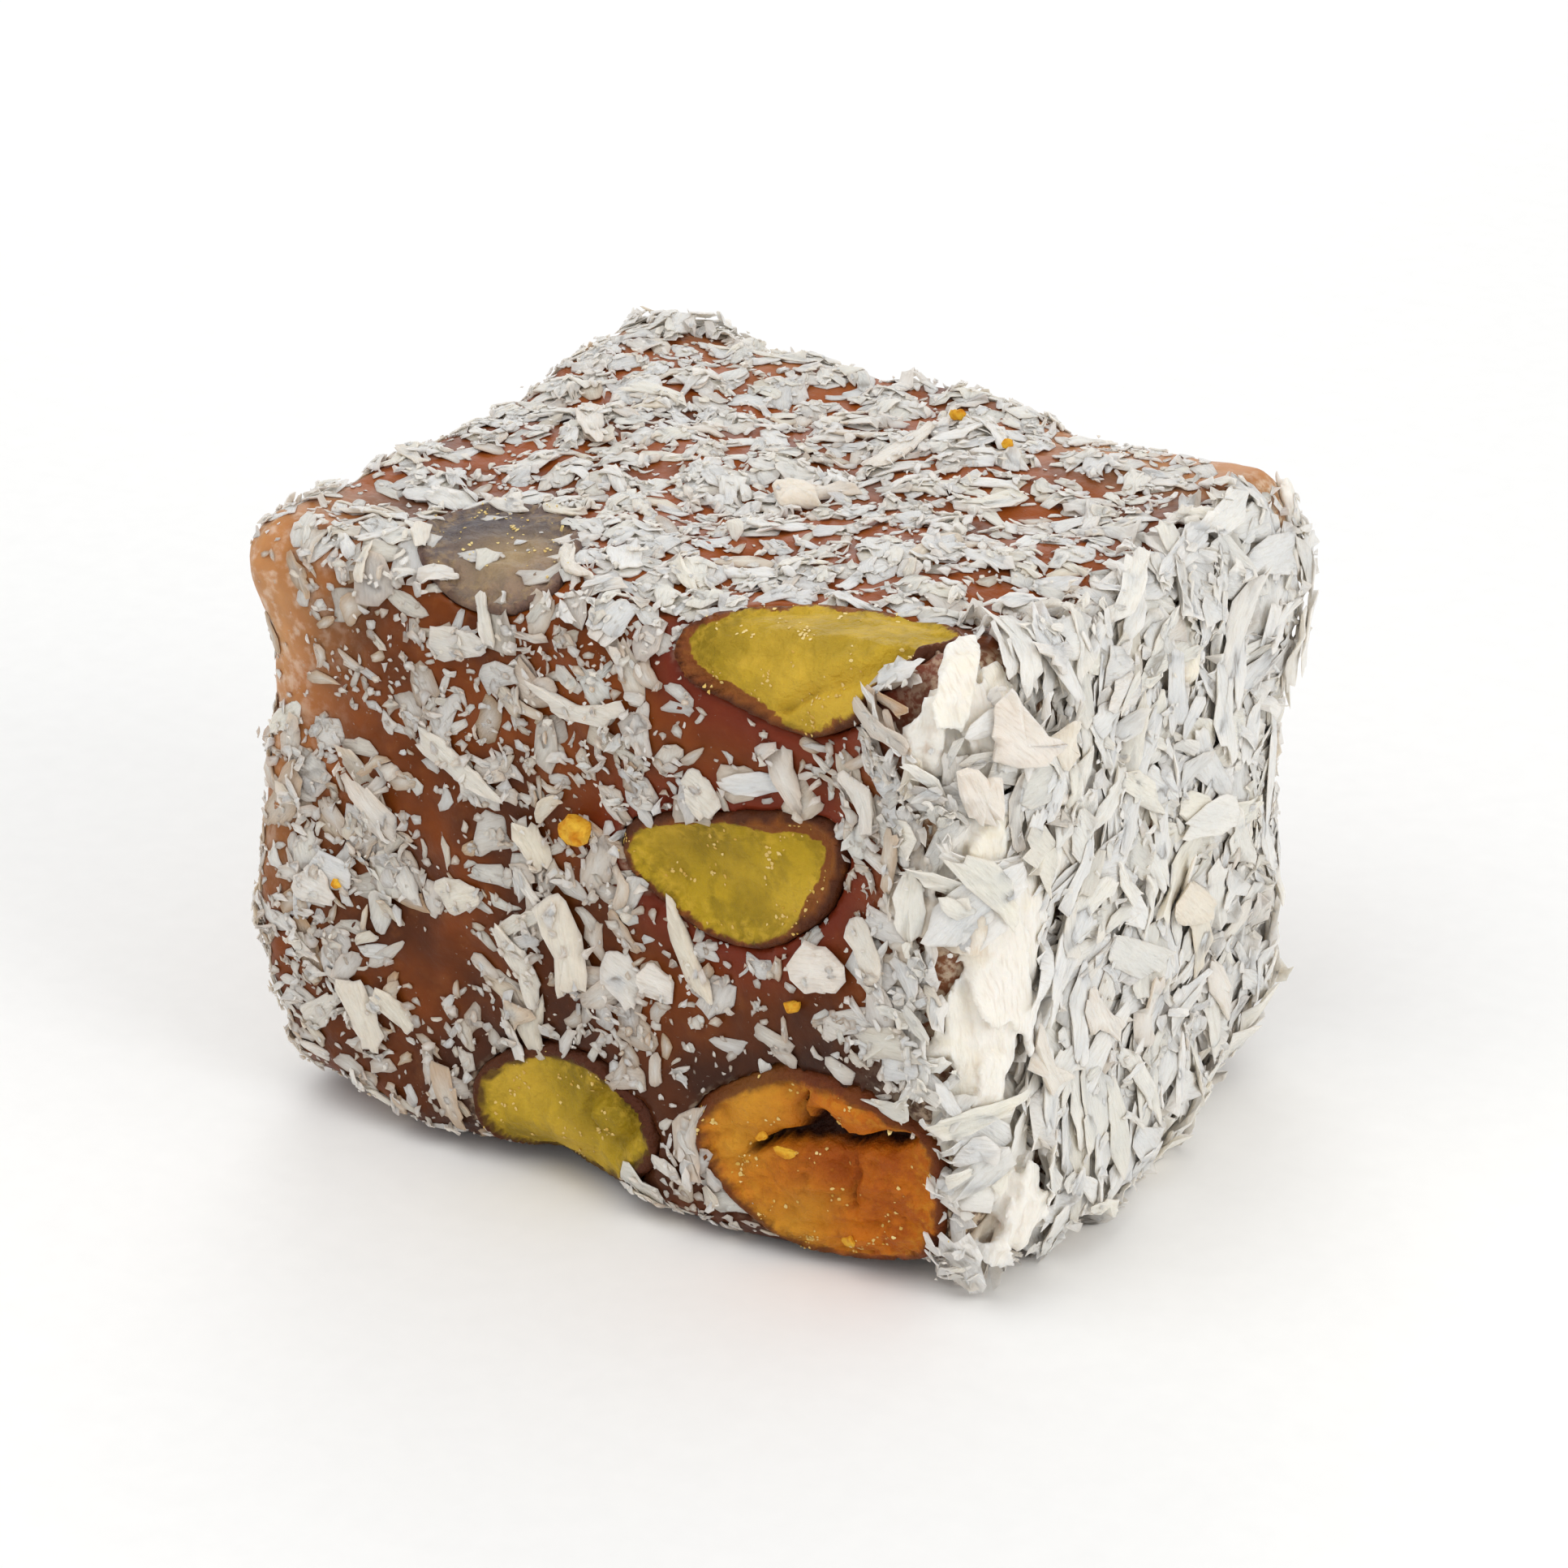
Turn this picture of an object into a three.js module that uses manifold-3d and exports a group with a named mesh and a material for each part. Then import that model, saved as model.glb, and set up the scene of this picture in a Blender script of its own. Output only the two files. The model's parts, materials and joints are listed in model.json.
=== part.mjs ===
// One piece of Turkish delight: a soft cube of caramel-brown starch jelly, cut by hand from a slab, with
// pistachio kernels set in it. Where the knife went through a kernel, the kernel is flush with the face.
// Millimetres, +Z up. The origin is on the resting face, under the middle of the piece.
// -Y is the long front face, +X the short right face.

import * as THREE from "three";
import { mergeVertices } from "three/addons/utils/BufferGeometryUtils.js";
import Module from "manifold-3d";

const wasm = await Module();
wasm.setup();

// ---- Driving dimensions ----

const LENGTH = 37.6; // along X
const DEPTH = 31; // along Y
const HEIGHT = 30.4; // along Z
const EDGE_RADIUS = 2.2; // soft edges of the cut jelly
const SOCKET_GAP = 0.3; // between a kernel and the jelly around it
const SEGMENT = 2.7; // mean spacing of the jelly's surface grid
const EDGE_CROWDING = 0.8; // 0 spaces the grid evenly, towards 1 it crowds at the edges
const HALF = new THREE.Vector3(LENGTH / 2, DEPTH / 2, HEIGHT / 2);

// How far the hand cut moved each corner of the cube, by the signs of its X, Y and Z.
const CORNER_SHIFTS = [
  { corner: [-1, -1, -1], shift: [-0.9, 0, 0] },
  { corner: [1, -1, -1], shift: [0.4, 0, 0] },
  { corner: [1, 1, -1], shift: [0, 0, 0] },
  { corner: [-1, 1, -1], shift: [0.2, 0, 0] },
  { corner: [-1, -1, 1], shift: [-1.2, 0, -0.6] },
  { corner: [1, -1, 1], shift: [0.1, 0, 0.5] },
  { corner: [1, 1, 1], shift: [0, 0, -0.1] },
  { corner: [-1, 1, 1], shift: [0.7, 0.5, 1.4] },
];

// Where the resting face curls up off the plate. Each curl is highest at its middle and dies away to nothing
// at its reach, as soft jelly lifts off a surface, and the face between them is flat and carries the weight.
const CURLS = [
  { at: [-16, -16.5], reach: 8, lift: 1.9 }, // left front corner
  { at: [-3.2, -17], reach: 6.5, lift: 2.3 }, // hollow under the low left kernel
  { at: [19.5, -16], reach: 9, lift: 2 }, // right front corner
  { at: [19, 15.5], reach: 10, lift: 3 }, // far right corner
  { at: [-19, 16], reach: 9, lift: 1.8 }, // far left corner
];
const CURL_HEIGHT = 9; // height at which the side walls no longer feel a curl

// Soft swellings and hollows, pushed in millimetres along the surface's own normal.
const SWELLINGS = [
  { at: [18, 15, 25], radius: 5, push: 0.7 }, // shoulder of the far right edge
  { at: [18, 14, 11], radius: 6, push: -0.4 }, // waist under that shoulder
  { at: [-19, -15, 23], radius: 3.5, push: -0.25 }, // shallow bite out of the left front edge
  { at: [-19, -15, 13], radius: 5, push: 0.5 }, // the left front edge under that bite
  { at: [5, -15, 1], radius: 6, push: 0.5 }, // belly over the front resting edge
  { at: [19, -3, 2], radius: 8, push: 1.1 }, // belly over the right resting edge
  { at: [-9, 15, 30], radius: 4, push: -0.3 }, // dip in the far top edge
  { at: [-17, 3, 30], radius: 5, push: -0.3 }, // dip in the left top edge
  { at: [18, 0, 15], radius: 8, push: 0.3 },
];

// The ripple that a blade leaves in sticky jelly: each wave has a height, and its turns per millimetre.
const RIPPLES = [
  { height: 0.26, turns: [0.062, 0.021, 0.055], phase: 0.1 },
  { height: 0.2, turns: [-0.035, 0.083, 0.047], phase: 0.45 },
  { height: 0.14, turns: [0.11, -0.06, 0.098], phase: 0.7 },
];

// Pistachio kernels. at is the middle, size the length, width and thickness, turn the degrees about X, Y
// and Z. taper narrows the kernel towards its +length end, wedge narrows it towards its -thickness side. Each
// chop is a flat side that it was broken along: a direction and how far out it lies, both in shares of the
// half sizes.
const KERNELS = [
  // Front face, and the top edge over it.
  {
    name: "kernel_ridge",
    at: [9.9, -14.8, 29.6],
    size: [13.4, 6.8, 6.2],
    turn: [0, -3, 25],
    taper: 0.12,
    wedge: 0.3,
    chops: [{ towards: [-0.5, 0, -0.85], out: 0.8 }],
  },
  {
    name: "kernel_front",
    at: [7, -12.8, 19.1],
    size: [12.2, 11, 7.8],
    turn: [0, -12, 0],
    taper: -0.1,
    wedge: 0.28,
    chops: [{ towards: [0, 0, 1], out: 0.62 }, { towards: [1, 0, -0.1], out: 0.86 }],
  },
  {
    name: "kernel_low_left",
    at: [-2.1, -14.4, 4.1],
    size: [10.8, 8.6, 6.6],
    turn: [0, -8, 4],
    taper: -0.05,
    wedge: -0.1,
  },
  {
    name: "kernel_low_right",
    at: [11.7, -12.8, 5.5],
    size: [14.6, 11.6, 10],
    turn: [0, -4, 0],
    taper: -0.08,
    wedge: 0.06,
    chops: [{ towards: [1, 0, 0], out: 0.82 }],
  },
  // Top face: a skin-on sliver of kernel that runs to the front edge.
  {
    name: "kernel_top",
    at: [-7.4, -12, 29.9],
    size: [9.6, 6.8, 4.4],
    turn: [0, 0, -37],
    taper: 0.1,
    wedge: 0,
  },
  // Far face.
  {
    name: "kernel_back_long",
    at: [-7, 12, 19.2],
    size: [17, 9.4, 9.6],
    turn: [0, 72, 0],
    taper: 0.18,
    wedge: 0.1,
  },
  {
    name: "kernel_back_low",
    at: [7.4, 11.8, 8.2],
    size: [12.4, 10, 8.4],
    turn: [0, 18, 0],
    taper: 0.1,
    wedge: 0.2,
    chops: [{ towards: [0.2, 0, 1], out: 0.7 }],
  },
  {
    name: "kernel_back_high",
    at: [10.6, 12.6, 23.4],
    size: [9.8, 9, 7],
    turn: [0, -30, 0],
    taper: -0.15,
    wedge: 0,
  },
  // Left face.
  {
    name: "kernel_left_low",
    at: [-15, 4.4, 8.8],
    size: [10, 13, 8.8],
    turn: [24, 0, 0],
    taper: 0,
    wedge: 0.15,
  },
  {
    name: "kernel_left_high",
    at: [-15.4, -4.6, 21],
    size: [9, 11, 7.6],
    turn: [-16, 0, 0],
    taper: 0.1,
    wedge: -0.15,
    chops: [{ towards: [0, 1, 0.3], out: 0.7 }],
  },
];
const KERNEL_SEGMENTS = [16, 11];
const KERNEL_UNEVENNESS = 0.035; // of its radius

// ---- Colours ----

const JELLY = new THREE.MeshStandardMaterial({ color: 0x5d341b, roughness: 0.35, metalness: 0 });
const KERNEL_COLOURS = {
  kernel_ridge: 0xc3a344,
  kernel_front: 0x9d7c22,
  kernel_low_left: 0xa17f1e,
  kernel_low_right: 0xb36817,
  kernel_top: 0xa08774,
  kernel_back_long: 0xb8742a,
  kernel_back_low: 0xa17f26,
  kernel_back_high: 0xa88a30,
  kernel_left_low: 0xb47a28,
  kernel_left_high: 0x9d7c28,
};

// ---- Solids from geometry and back ----

function solidOf(geometry) {
  const bare = geometry.clone().deleteAttribute("normal").deleteAttribute("uv");
  const merged = mergeVertices(bare, 1e-3);
  return new wasm.Manifold(
    new wasm.Mesh({
      numProp: 3,
      vertProperties: merged.attributes.position.array,
      triVerts: new Uint32Array(merged.index.array),
    }),
  );
}

function geometryOf(solid) {
  const { vertProperties, triVerts } = solid.getMesh();
  const geometry = new THREE.BufferGeometry();
  geometry.setAttribute("position", new THREE.BufferAttribute(vertProperties, 3));
  geometry.setIndex(new THREE.BufferAttribute(triVerts, 1));
  geometry.computeVertexNormals();
  return geometry;
}

function moveEachVertex(geometry, move) {
  const position = geometry.attributes.position;
  const p = new THREE.Vector3();
  for (let i = 0; i < position.count; i++) {
    const moved = move(p.fromBufferAttribute(position, i).clone());
    position.setXYZ(i, moved.x, moved.y, moved.z);
  }
  return geometry;
}

// ---- The jelly cube ----

// Crowds an even spacing from -half to half towards its two ends, where the surface turns.
function crowded(value, half) {
  const quarterTurn = (Math.PI / 2) * EDGE_CROWDING;
  return (half * Math.sin((value / half) * quarterTurn)) / Math.sin(quarterTurn);
}

// The point of a rounded box that a point of the plain box goes to, and the normal there.
function roundedPoint(p) {
  const inner = p.clone().clamp(
    HALF.clone().multiplyScalar(-1).addScalar(EDGE_RADIUS),
    HALF.clone().subScalar(EDGE_RADIUS),
  );
  const normal = p.clone().sub(inner).normalize();
  return { point: inner.addScaledVector(normal, EDGE_RADIUS), normal };
}

// Blends the eight corners' shifts over the cube.
function handCut(p) {
  const moved = p.clone();
  for (const { corner, shift } of CORNER_SHIFTS) {
    const share =
      ((1 + (corner[0] * p.x) / HALF.x) *
        (1 + (corner[1] * p.y) / HALF.y) *
        (1 + (corner[2] * p.z) / HALF.z)) /
      8;
    moved.addScaledVector(new THREE.Vector3(...shift), share);
  }
  return moved;
}

function rippleAt(p) {
  return RIPPLES.reduce((sum, { height, turns, phase }) => {
    const turned = turns[0] * p.x + turns[1] * p.y + turns[2] * p.z + phase;
    return sum + height * Math.sin(2 * Math.PI * turned);
  }, 0);
}

function swellingAt(p) {
  return SWELLINGS.reduce((sum, { at, radius, push }) => {
    const away = p.distanceTo(new THREE.Vector3(...at)) / radius;
    return sum + push * Math.exp(-away * away);
  }, 0);
}

// How far the curls raise a point that stands on the resting face at this X and Y.
function curlAt(p) {
  return CURLS.reduce((sum, { at, reach, lift }) => {
    const away = Math.hypot(p.x - at[0], p.y - at[1]) / reach;
    return sum + lift * Math.max(0, 1 - away * away) ** 2;
  }, 0);
}

function cubeGeometry() {
  const counts = [LENGTH, DEPTH, HEIGHT].map((side) => Math.round(side / SEGMENT));
  return moveEachVertex(new THREE.BoxGeometry(LENGTH, DEPTH, HEIGHT, ...counts), (p) => {
    const spread = new THREE.Vector3(crowded(p.x, HALF.x), crowded(p.y, HALF.y), crowded(p.z, HALF.z));
    const { point, normal } = roundedPoint(spread);
    const shaped = handCut(point);
    shaped.z += HALF.z;
    const free = 1 - Math.max(0, -normal.z); // the resting face itself stays flat
    shaped.addScaledVector(normal, free * (rippleAt(shaped) + swellingAt(shaped)));
    shaped.z += curlAt(point) * Math.max(0, 1 - shaped.z / CURL_HEIGHT);
    return shaped;
  });
}

// ---- The kernels ----

// A pistachio kernel as an uneven egg with its length along X, grown outwards by a clearance.
function kernelSolid({ at, size, turn, taper, wedge, chops = [] }, clearance) {
  const round = new THREE.SphereGeometry(1, ...KERNEL_SEGMENTS).rotateZ(Math.PI / 2);
  const half = size.map((side) => side / 2 + clearance);
  moveEachVertex(round, (p) => {
    for (const { towards, out } of chops) {
      const direction = new THREE.Vector3(...towards).normalize();
      p.addScaledVector(direction, Math.min(0, out - p.dot(direction)));
    }
    const uneven = 1 + KERNEL_UNEVENNESS * Math.sin(3 * p.x + 4 * p.y + at[0]) * Math.cos(5 * p.z + at[2]);
    const narrowing = (1 - taper * p.x) * uneven;
    return new THREE.Vector3(
      half[0] * p.x * (1 + wedge * p.z) * uneven,
      half[1] * p.y * narrowing,
      half[2] * p.z * narrowing,
    );
  });
  const [turnX, turnY, turnZ] = turn.map(THREE.MathUtils.degToRad);
  round.rotateX(turnX).rotateY(turnY).rotateZ(turnZ).translate(...at);
  return solidOf(round);
}

function namedMesh(name, solid, material) {
  const mesh = new THREE.Mesh(geometryOf(solid), material);
  mesh.name = name;
  return mesh;
}

// ---- Putting it together ----

const cube = solidOf(cubeGeometry());
let jelly = cube;
const delight = new THREE.Group();
for (const kernel of KERNELS) {
  const solid = kernelSolid(kernel, 0);
  const shown = cube.intersect(solid);
  const material = new THREE.MeshStandardMaterial({
    color: KERNEL_COLOURS[kernel.name],
    roughness: 0.6,
    metalness: 0,
  });
  delight.add(namedMesh(kernel.name, shown, material));
  jelly = jelly.subtract(kernelSolid(kernel, SOCKET_GAP));
}
delight.add(namedMesh("jelly", jelly, JELLY));

// The origin goes under the middle of the whole piece, on its resting face.
const extent = new THREE.Box3().setFromObject(delight);
const middle = extent.getCenter(new THREE.Vector3());
delight.position.set(-middle.x, -middle.y, -extent.min.z);

export default delight;
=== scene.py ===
# %% [markdown]
# # A cube of Turkish delight
#
# The sweet is a soft cube of caramel-brown starch jelly, cut from a slab with a knife. Pistachio kernels
# are set in it, and where the knife met a kernel it cut the kernel too, flush with the face. The cube was
# then rolled in desiccated coconut, which clings wherever the jelly is sticky.
#
# The CAD frame gives the cube and the kernels at their real size. This lesson gives them their looks: a
# translucent jelly, cut nut flesh with its thin skin, and some twelve thousand coconut flakes that rest
# on the jelly and on each other as the real ones do.

# %% Load the frame
import json
import math

import bmesh
import bpy
import numpy as np
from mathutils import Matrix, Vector
from mathutils.bvhtree import BVHTree
from mathutils.kdtree import KDTree


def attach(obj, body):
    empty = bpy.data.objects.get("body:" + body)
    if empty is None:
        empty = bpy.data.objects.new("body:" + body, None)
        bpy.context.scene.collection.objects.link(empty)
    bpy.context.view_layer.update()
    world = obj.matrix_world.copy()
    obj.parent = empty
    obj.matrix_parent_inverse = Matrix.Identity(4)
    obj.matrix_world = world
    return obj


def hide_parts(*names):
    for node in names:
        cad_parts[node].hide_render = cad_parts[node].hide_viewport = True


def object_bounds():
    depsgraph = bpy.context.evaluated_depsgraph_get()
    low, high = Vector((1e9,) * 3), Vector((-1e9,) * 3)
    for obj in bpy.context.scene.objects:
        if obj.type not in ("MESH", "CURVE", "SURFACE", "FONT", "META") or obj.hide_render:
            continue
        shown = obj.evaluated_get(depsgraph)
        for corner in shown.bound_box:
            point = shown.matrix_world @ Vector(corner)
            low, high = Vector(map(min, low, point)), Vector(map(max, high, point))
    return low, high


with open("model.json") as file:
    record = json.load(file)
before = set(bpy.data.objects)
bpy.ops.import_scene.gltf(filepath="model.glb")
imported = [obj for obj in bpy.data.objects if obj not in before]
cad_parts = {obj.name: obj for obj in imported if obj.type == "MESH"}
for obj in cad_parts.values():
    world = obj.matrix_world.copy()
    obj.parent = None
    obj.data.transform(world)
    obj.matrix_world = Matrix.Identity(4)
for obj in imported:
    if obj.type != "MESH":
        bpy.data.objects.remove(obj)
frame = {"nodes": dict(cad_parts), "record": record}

cad_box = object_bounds()
MM = 0.001
nodes = frame["nodes"]
kernel_names = sorted(name for name in nodes if name.startswith("kernel_"))
size_mm = [round((high - low) / MM, 1) for low, high in zip(*cad_box)]
print("the cube measures", size_mm, "mm and holds", len(kernel_names), "kernels")

# %% [markdown]
# ## Shader maths as plain expressions
#
# A node material is a little program, and wiring it by hand hides what it says. The first small class
# wraps an output socket and overloads the arithmetic signs, so that a mask can be written as `1 - mask *
# 0.5`. The second is the book of nodes of one material. Every other node comes from its method `node`,
# which takes the node's type, its settings and the values of its sockets.


# %% A small language for node materials
class Wire:
    """A socket in a material, with arithmetic. A number stays a Python number until it meets a Wire."""

    def __init__(self, book, socket):
        self.book = book
        self.socket = socket

    def _math(self, operation, *values):
        return self.book.node("ShaderNodeMath", {"operation": operation}, dict(enumerate(values)))

    def __add__(self, other):
        return self._math("ADD", self, other)

    def __radd__(self, other):
        return self._math("ADD", other, self)

    def __sub__(self, other):
        return self._math("SUBTRACT", self, other)

    def __rsub__(self, other):
        return self._math("SUBTRACT", other, self)

    def __mul__(self, other):
        return self._math("MULTIPLY", self, other)

    def __rmul__(self, other):
        return self._math("MULTIPLY", other, self)

    def clamp(self):
        return self.book.node("ShaderNodeClamp", {}, {"Value": self})

    def step(self, low, high):
        """0 below low, 1 above high and a soft S between them. low may be the larger, to turn it round."""
        if low > high:
            return 1 - self.step(high, low)
        settings = {"interpolation_type": "SMOOTHSTEP"}
        inputs = {"Value": self, "From Min": low, "From Max": high}
        return self.book.node("ShaderNodeMapRange", settings, inputs)


class Material:
    def __init__(self, name):
        self.made = bpy.data.materials.new(name)
        self.made.use_nodes = True
        self.tree = self.made.node_tree
        self.tree.nodes.clear()

    def node(self, kind, settings, inputs, output=0):
        made = self.tree.nodes.new(kind)
        for key, value in settings.items():
            setattr(made, key, value)
        for key, value in inputs.items():
            if isinstance(value, Wire):
                self.tree.links.new(value.socket, made.inputs[key])
            else:
                made.inputs[key].default_value = value
        return Wire(self, made.outputs[output])

    def place(self):
        """The point being shaded, in the object's own metres."""
        return self.node("ShaderNodeTexCoord", {}, {}, "Object")

    def attribute(self, name, output="Fac"):
        """The numbers that were stored on the mesh under this name."""
        return self.node("ShaderNodeAttribute", {"attribute_name": name}, {}, output)

    def noise(self, where, per_mm, detail=3.0):
        """Soft noise from 0 to 1 with this many features to the millimetre."""
        inputs = {"Vector": where, "Scale": per_mm / MM, "Detail": detail, "Roughness": 0.55}
        return self.node("ShaderNodeTexNoise", {}, inputs, "Fac")

    def blend(self, share, first, second):
        """first where share is 0, second where it is 1. Either may be a colour or a Wire."""
        settings = {"data_type": "RGBA"}
        inputs = {0: share, 6: first, 7: second}
        return self.node("ShaderNodeMix", settings, inputs, 2)

    def bump(self, height, depth_mm, strength):
        """Fine relief that only bends the light."""
        inputs = {"Height": height, "Distance": depth_mm * MM, "Strength": strength}
        return self.node("ShaderNodeBump", {}, inputs, "Normal")

    def finish(self, inputs):
        """Ends the material with one surface that takes these values, and gives the material."""
        surface = self.node("ShaderNodeBsdfPrincipled", {}, inputs)
        end = self.tree.nodes.new("ShaderNodeOutputMaterial")
        self.tree.links.new(surface.socket, end.inputs["Surface"])
        return self.made


def colour(red, green, blue):
    """A colour as a screen shows it, 0 to 255, turned into the linear light that a shader works in."""

    def linear(value):
        share = value / 255
        if share <= 0.04045:
            return share / 12.92
        return ((share + 0.055) / 1.055) ** 2.4

    return (linear(red), linear(green), linear(blue), 1.0)


print("caramel in linear light:", [round(part, 3) for part in colour(140, 84, 50)])

# %% [markdown]
# ## The camera, the light and the floor
#
# They come first, so that every test picture is framed alike. The camera looks a little down on the long
# front face and the short right face. Its distance fixes the perspective: it stands over seven cube
# heights away, so the lines close in only slightly. Three big soft lights, from the right, from above the
# front and from behind, stand in a white room. They keep the coconut white without hard shadows, and the
# slant of the first one still shows the relief of the flakes.

# %% Camera
CAMERA_AT = Vector((111.7, -179.2, 113.2)) * MM
LOOK_AT = Vector((0.0, 0.3, 15.4)) * MM
LENS_MM = 112
SENSOR_MM = 36
NEAREST_SEEN_MM = 10
camera_data = bpy.data.cameras.new("camera")
camera_data.lens = LENS_MM
camera_data.sensor_width = SENSOR_MM
camera_data.clip_start = NEAREST_SEEN_MM * MM
camera = bpy.data.objects.new("camera", camera_data)
camera.location = CAMERA_AT
camera.rotation_euler = (LOOK_AT - CAMERA_AT).to_track_quat("-Z", "Y").to_euler()
bpy.context.scene.collection.objects.link(camera)
bpy.context.scene.camera = camera
print("the camera is", round((CAMERA_AT - LOOK_AT).length / MM), "mm from the cube's middle")


# %% Light
ROOM_BRIGHTNESS = 0.68


def soft_light(name, at_mm, across_mm, watts):
    """A round white lamp that faces the cube."""
    lamp = bpy.data.lights.new(name, "AREA")
    lamp.shape = "DISK"
    lamp.size = across_mm * MM
    lamp.energy = watts
    holder = bpy.data.objects.new(name, lamp)
    holder.location = Vector(at_mm) * MM
    holder.rotation_euler = (LOOK_AT - holder.location).to_track_quat("-Z", "Y").to_euler()
    bpy.context.scene.collection.objects.link(holder)


soft_light("key", (330, -60, 190), 240, 0.47)
soft_light("above", (-60, -150, 300), 260, 0.3)
soft_light("behind", (-200, 300, 200), 260, 0.35)

world = bpy.data.worlds.new("studio")
world.use_nodes = True
room = world.node_tree.nodes["Background"]
room.inputs["Color"].default_value = (1.0, 1.0, 1.0, 1.0)
room.inputs["Strength"].default_value = ROOM_BRIGHTNESS
bpy.context.scene.world = world
bpy.context.scene.view_settings.view_transform = "Standard"
print(len(bpy.data.lights), "soft lights in a white room of brightness", ROOM_BRIGHTNESS)

# %% Floor
FLOOR_DROP_MM = 0.05
FLOOR_REACH = 3.0
floor_mesh = bpy.data.meshes.new("floor")
floor_corners = [(x * FLOOR_REACH, y * FLOOR_REACH, 0) for x, y in ((-1, -1), (1, -1), (1, 1), (-1, 1))]
floor_mesh.from_pydata(floor_corners, [], [(0, 1, 2, 3)])
floor = bpy.data.objects.new("floor", floor_mesh)
floor.location.z = -FLOOR_DROP_MM * MM
bpy.context.scene.collection.objects.link(floor)
paper = Material("pale_paper")
fibre = paper.noise(paper.place(), 0.6)
floor_tone = paper.blend(fibre, colour(244, 244, 243), colour(249, 249, 248))
floor_mesh.materials.append(paper.finish({"Base Color": floor_tone, "Roughness": 0.8}))
print("the floor is", 2 * FLOOR_REACH, "m wide and", FLOOR_DROP_MM, "mm below the cube")

# %% [markdown]
# ## A finer mesh for the jelly and the kernels
#
# The CAD solids are faceted, because they serve for collision and mass. The sweet itself has no flat
# facet anywhere. A voxel remesh gives a copy of each solid an even, fine grid, and a little smoothing
# rounds what the knife left. The copy then stands for the CAD node, which is never changed.


# %% Reading and moving the points of a mesh
def points_of(mesh):
    flat = np.zeros(len(mesh.vertices) * 3, np.float32)
    mesh.vertices.foreach_get("co", flat)
    return flat.reshape(-1, 3).astype(float)


def normals_of(mesh):
    flat = np.zeros(len(mesh.vertices) * 3, np.float32)
    mesh.vertex_normals.foreach_get("vector", flat)
    return flat.reshape(-1, 3).astype(float)


def triangles_of(mesh):
    """How many triangles a mesh makes: a face with four corners counts as two."""
    return len(mesh.loops) - 2 * len(mesh.polygons)


def move_points(mesh, points):
    mesh.vertices.foreach_set("co", points.astype(np.float32).ravel())
    mesh.update()


# %% An even, fine grid for a solid
def put_on_grid(piece, voxel_mm, smoothing):
    """Gives a piece a new mesh on an even grid, smoothed this many times."""
    remesh = piece.modifiers.new("fine", "REMESH")
    remesh.mode = "VOXEL"
    remesh.voxel_size = voxel_mm * MM
    soften = piece.modifiers.new("soft", "SMOOTH")
    soften.factor = 0.5
    soften.iterations = smoothing
    ready = piece.evaluated_get(bpy.context.evaluated_depsgraph_get())
    fine = bpy.data.meshes.new_from_object(ready)
    piece.modifiers.clear()
    piece.data = fine
    fine.name = piece.name
    fine.shade_smooth()


def refined_copy(node, name, voxel_mm, smoothing):
    """A copy of a CAD node on an even fine grid, as a new object."""
    piece = bpy.data.objects.new(name, nodes[node].data.copy())
    piece.data.materials.clear()
    bpy.context.scene.collection.objects.link(piece)
    put_on_grid(piece, voxel_mm, smoothing)
    return piece


# %% Finding the nearest surface or point
def wrap_tree(mesh):
    """Finds the nearest spot on a surface."""
    return BVHTree.FromPolygons([v.co for v in mesh.vertices], [p.vertices for p in mesh.polygons])


def point_tree(points):
    """Finds the nearest of these points."""
    tree = KDTree(len(points))
    for index, point in enumerate(points):
        tree.insert(point, index)
    tree.balance()
    return tree


# %% Numbers for a material to read, and unevenness
def give(mesh, name, values):
    """Stores one number for each vertex."""
    attribute = mesh.attributes.new(name, "FLOAT", "POINT")
    attribute.data.foreach_set("value", np.asarray(values, np.float32))


def give_places(mesh, name, places):
    """Stores one place for each vertex."""
    attribute = mesh.attributes.new(name, "FLOAT_VECTOR", "POINT")
    attribute.data.foreach_set("vector", places.astype(np.float32).ravel())


def smooth_share(values, low, high):
    """0 below low, 1 above high and a soft S between them."""
    share = np.clip((values - low) / (high - low), 0, 1)
    return share * share * (3 - 2 * share)


def waves(points_mm, seed, scale_mm, octaves=3):
    """Smooth unevenness, roughly -1 to 1, from a few sums of waves in random directions."""
    draw = np.random.default_rng(seed)
    total = np.zeros(len(points_mm))
    size = 1.0
    for octave in range(octaves):
        for _ in range(6):
            direction = draw.normal(size=3)
            direction *= 2 * math.pi / (scale_mm / 2**octave) / np.linalg.norm(direction)
            total += size * np.sin(points_mm @ direction + draw.uniform(0, 2 * math.pi)) / 3
        size *= 0.5
    return total


# %% [markdown]
# ## The jelly
#
# Cut jelly is nearly smooth, but the blade drags on it and leaves low dents. Its colour is not even
# either, and light and shade are painted into it. The thin edges, which let light through, are painted
# pale like toffee, and the top face and the left side are painted lighter and more orange, as lit. A
# painted shade turns the jelly dark brown round the low kernels, and the deep middle looks dark brown too.
# The masks for that are worked out here, one number for each vertex.

# %% Jelly shape
JELLY_VOXEL_MM = 0.36
DENT_MM = 0.10
RIPPLE_MM = 0.035
FLAT_UNDER_MM = 0.8
jelly = refined_copy("jelly", "jelly_cube", JELLY_VOXEL_MM, 4)
jelly_points = points_of(jelly.data) / MM
jelly_normals = normals_of(jelly.data)
dents = DENT_MM * waves(jelly_points, 11, 5.0) + RIPPLE_MM * waves(jelly_points, 12, 1.6)
off_plate = smooth_share(jelly_points[:, 2], 0.0, FLAT_UNDER_MM)
jelly_points += jelly_normals * (dents * off_plate)[:, None]
move_points(jelly.data, jelly_points * MM)
print("the jelly has", triangles_of(jelly.data), "triangles on a grid of", JELLY_VOXEL_MM, "mm")

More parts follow.
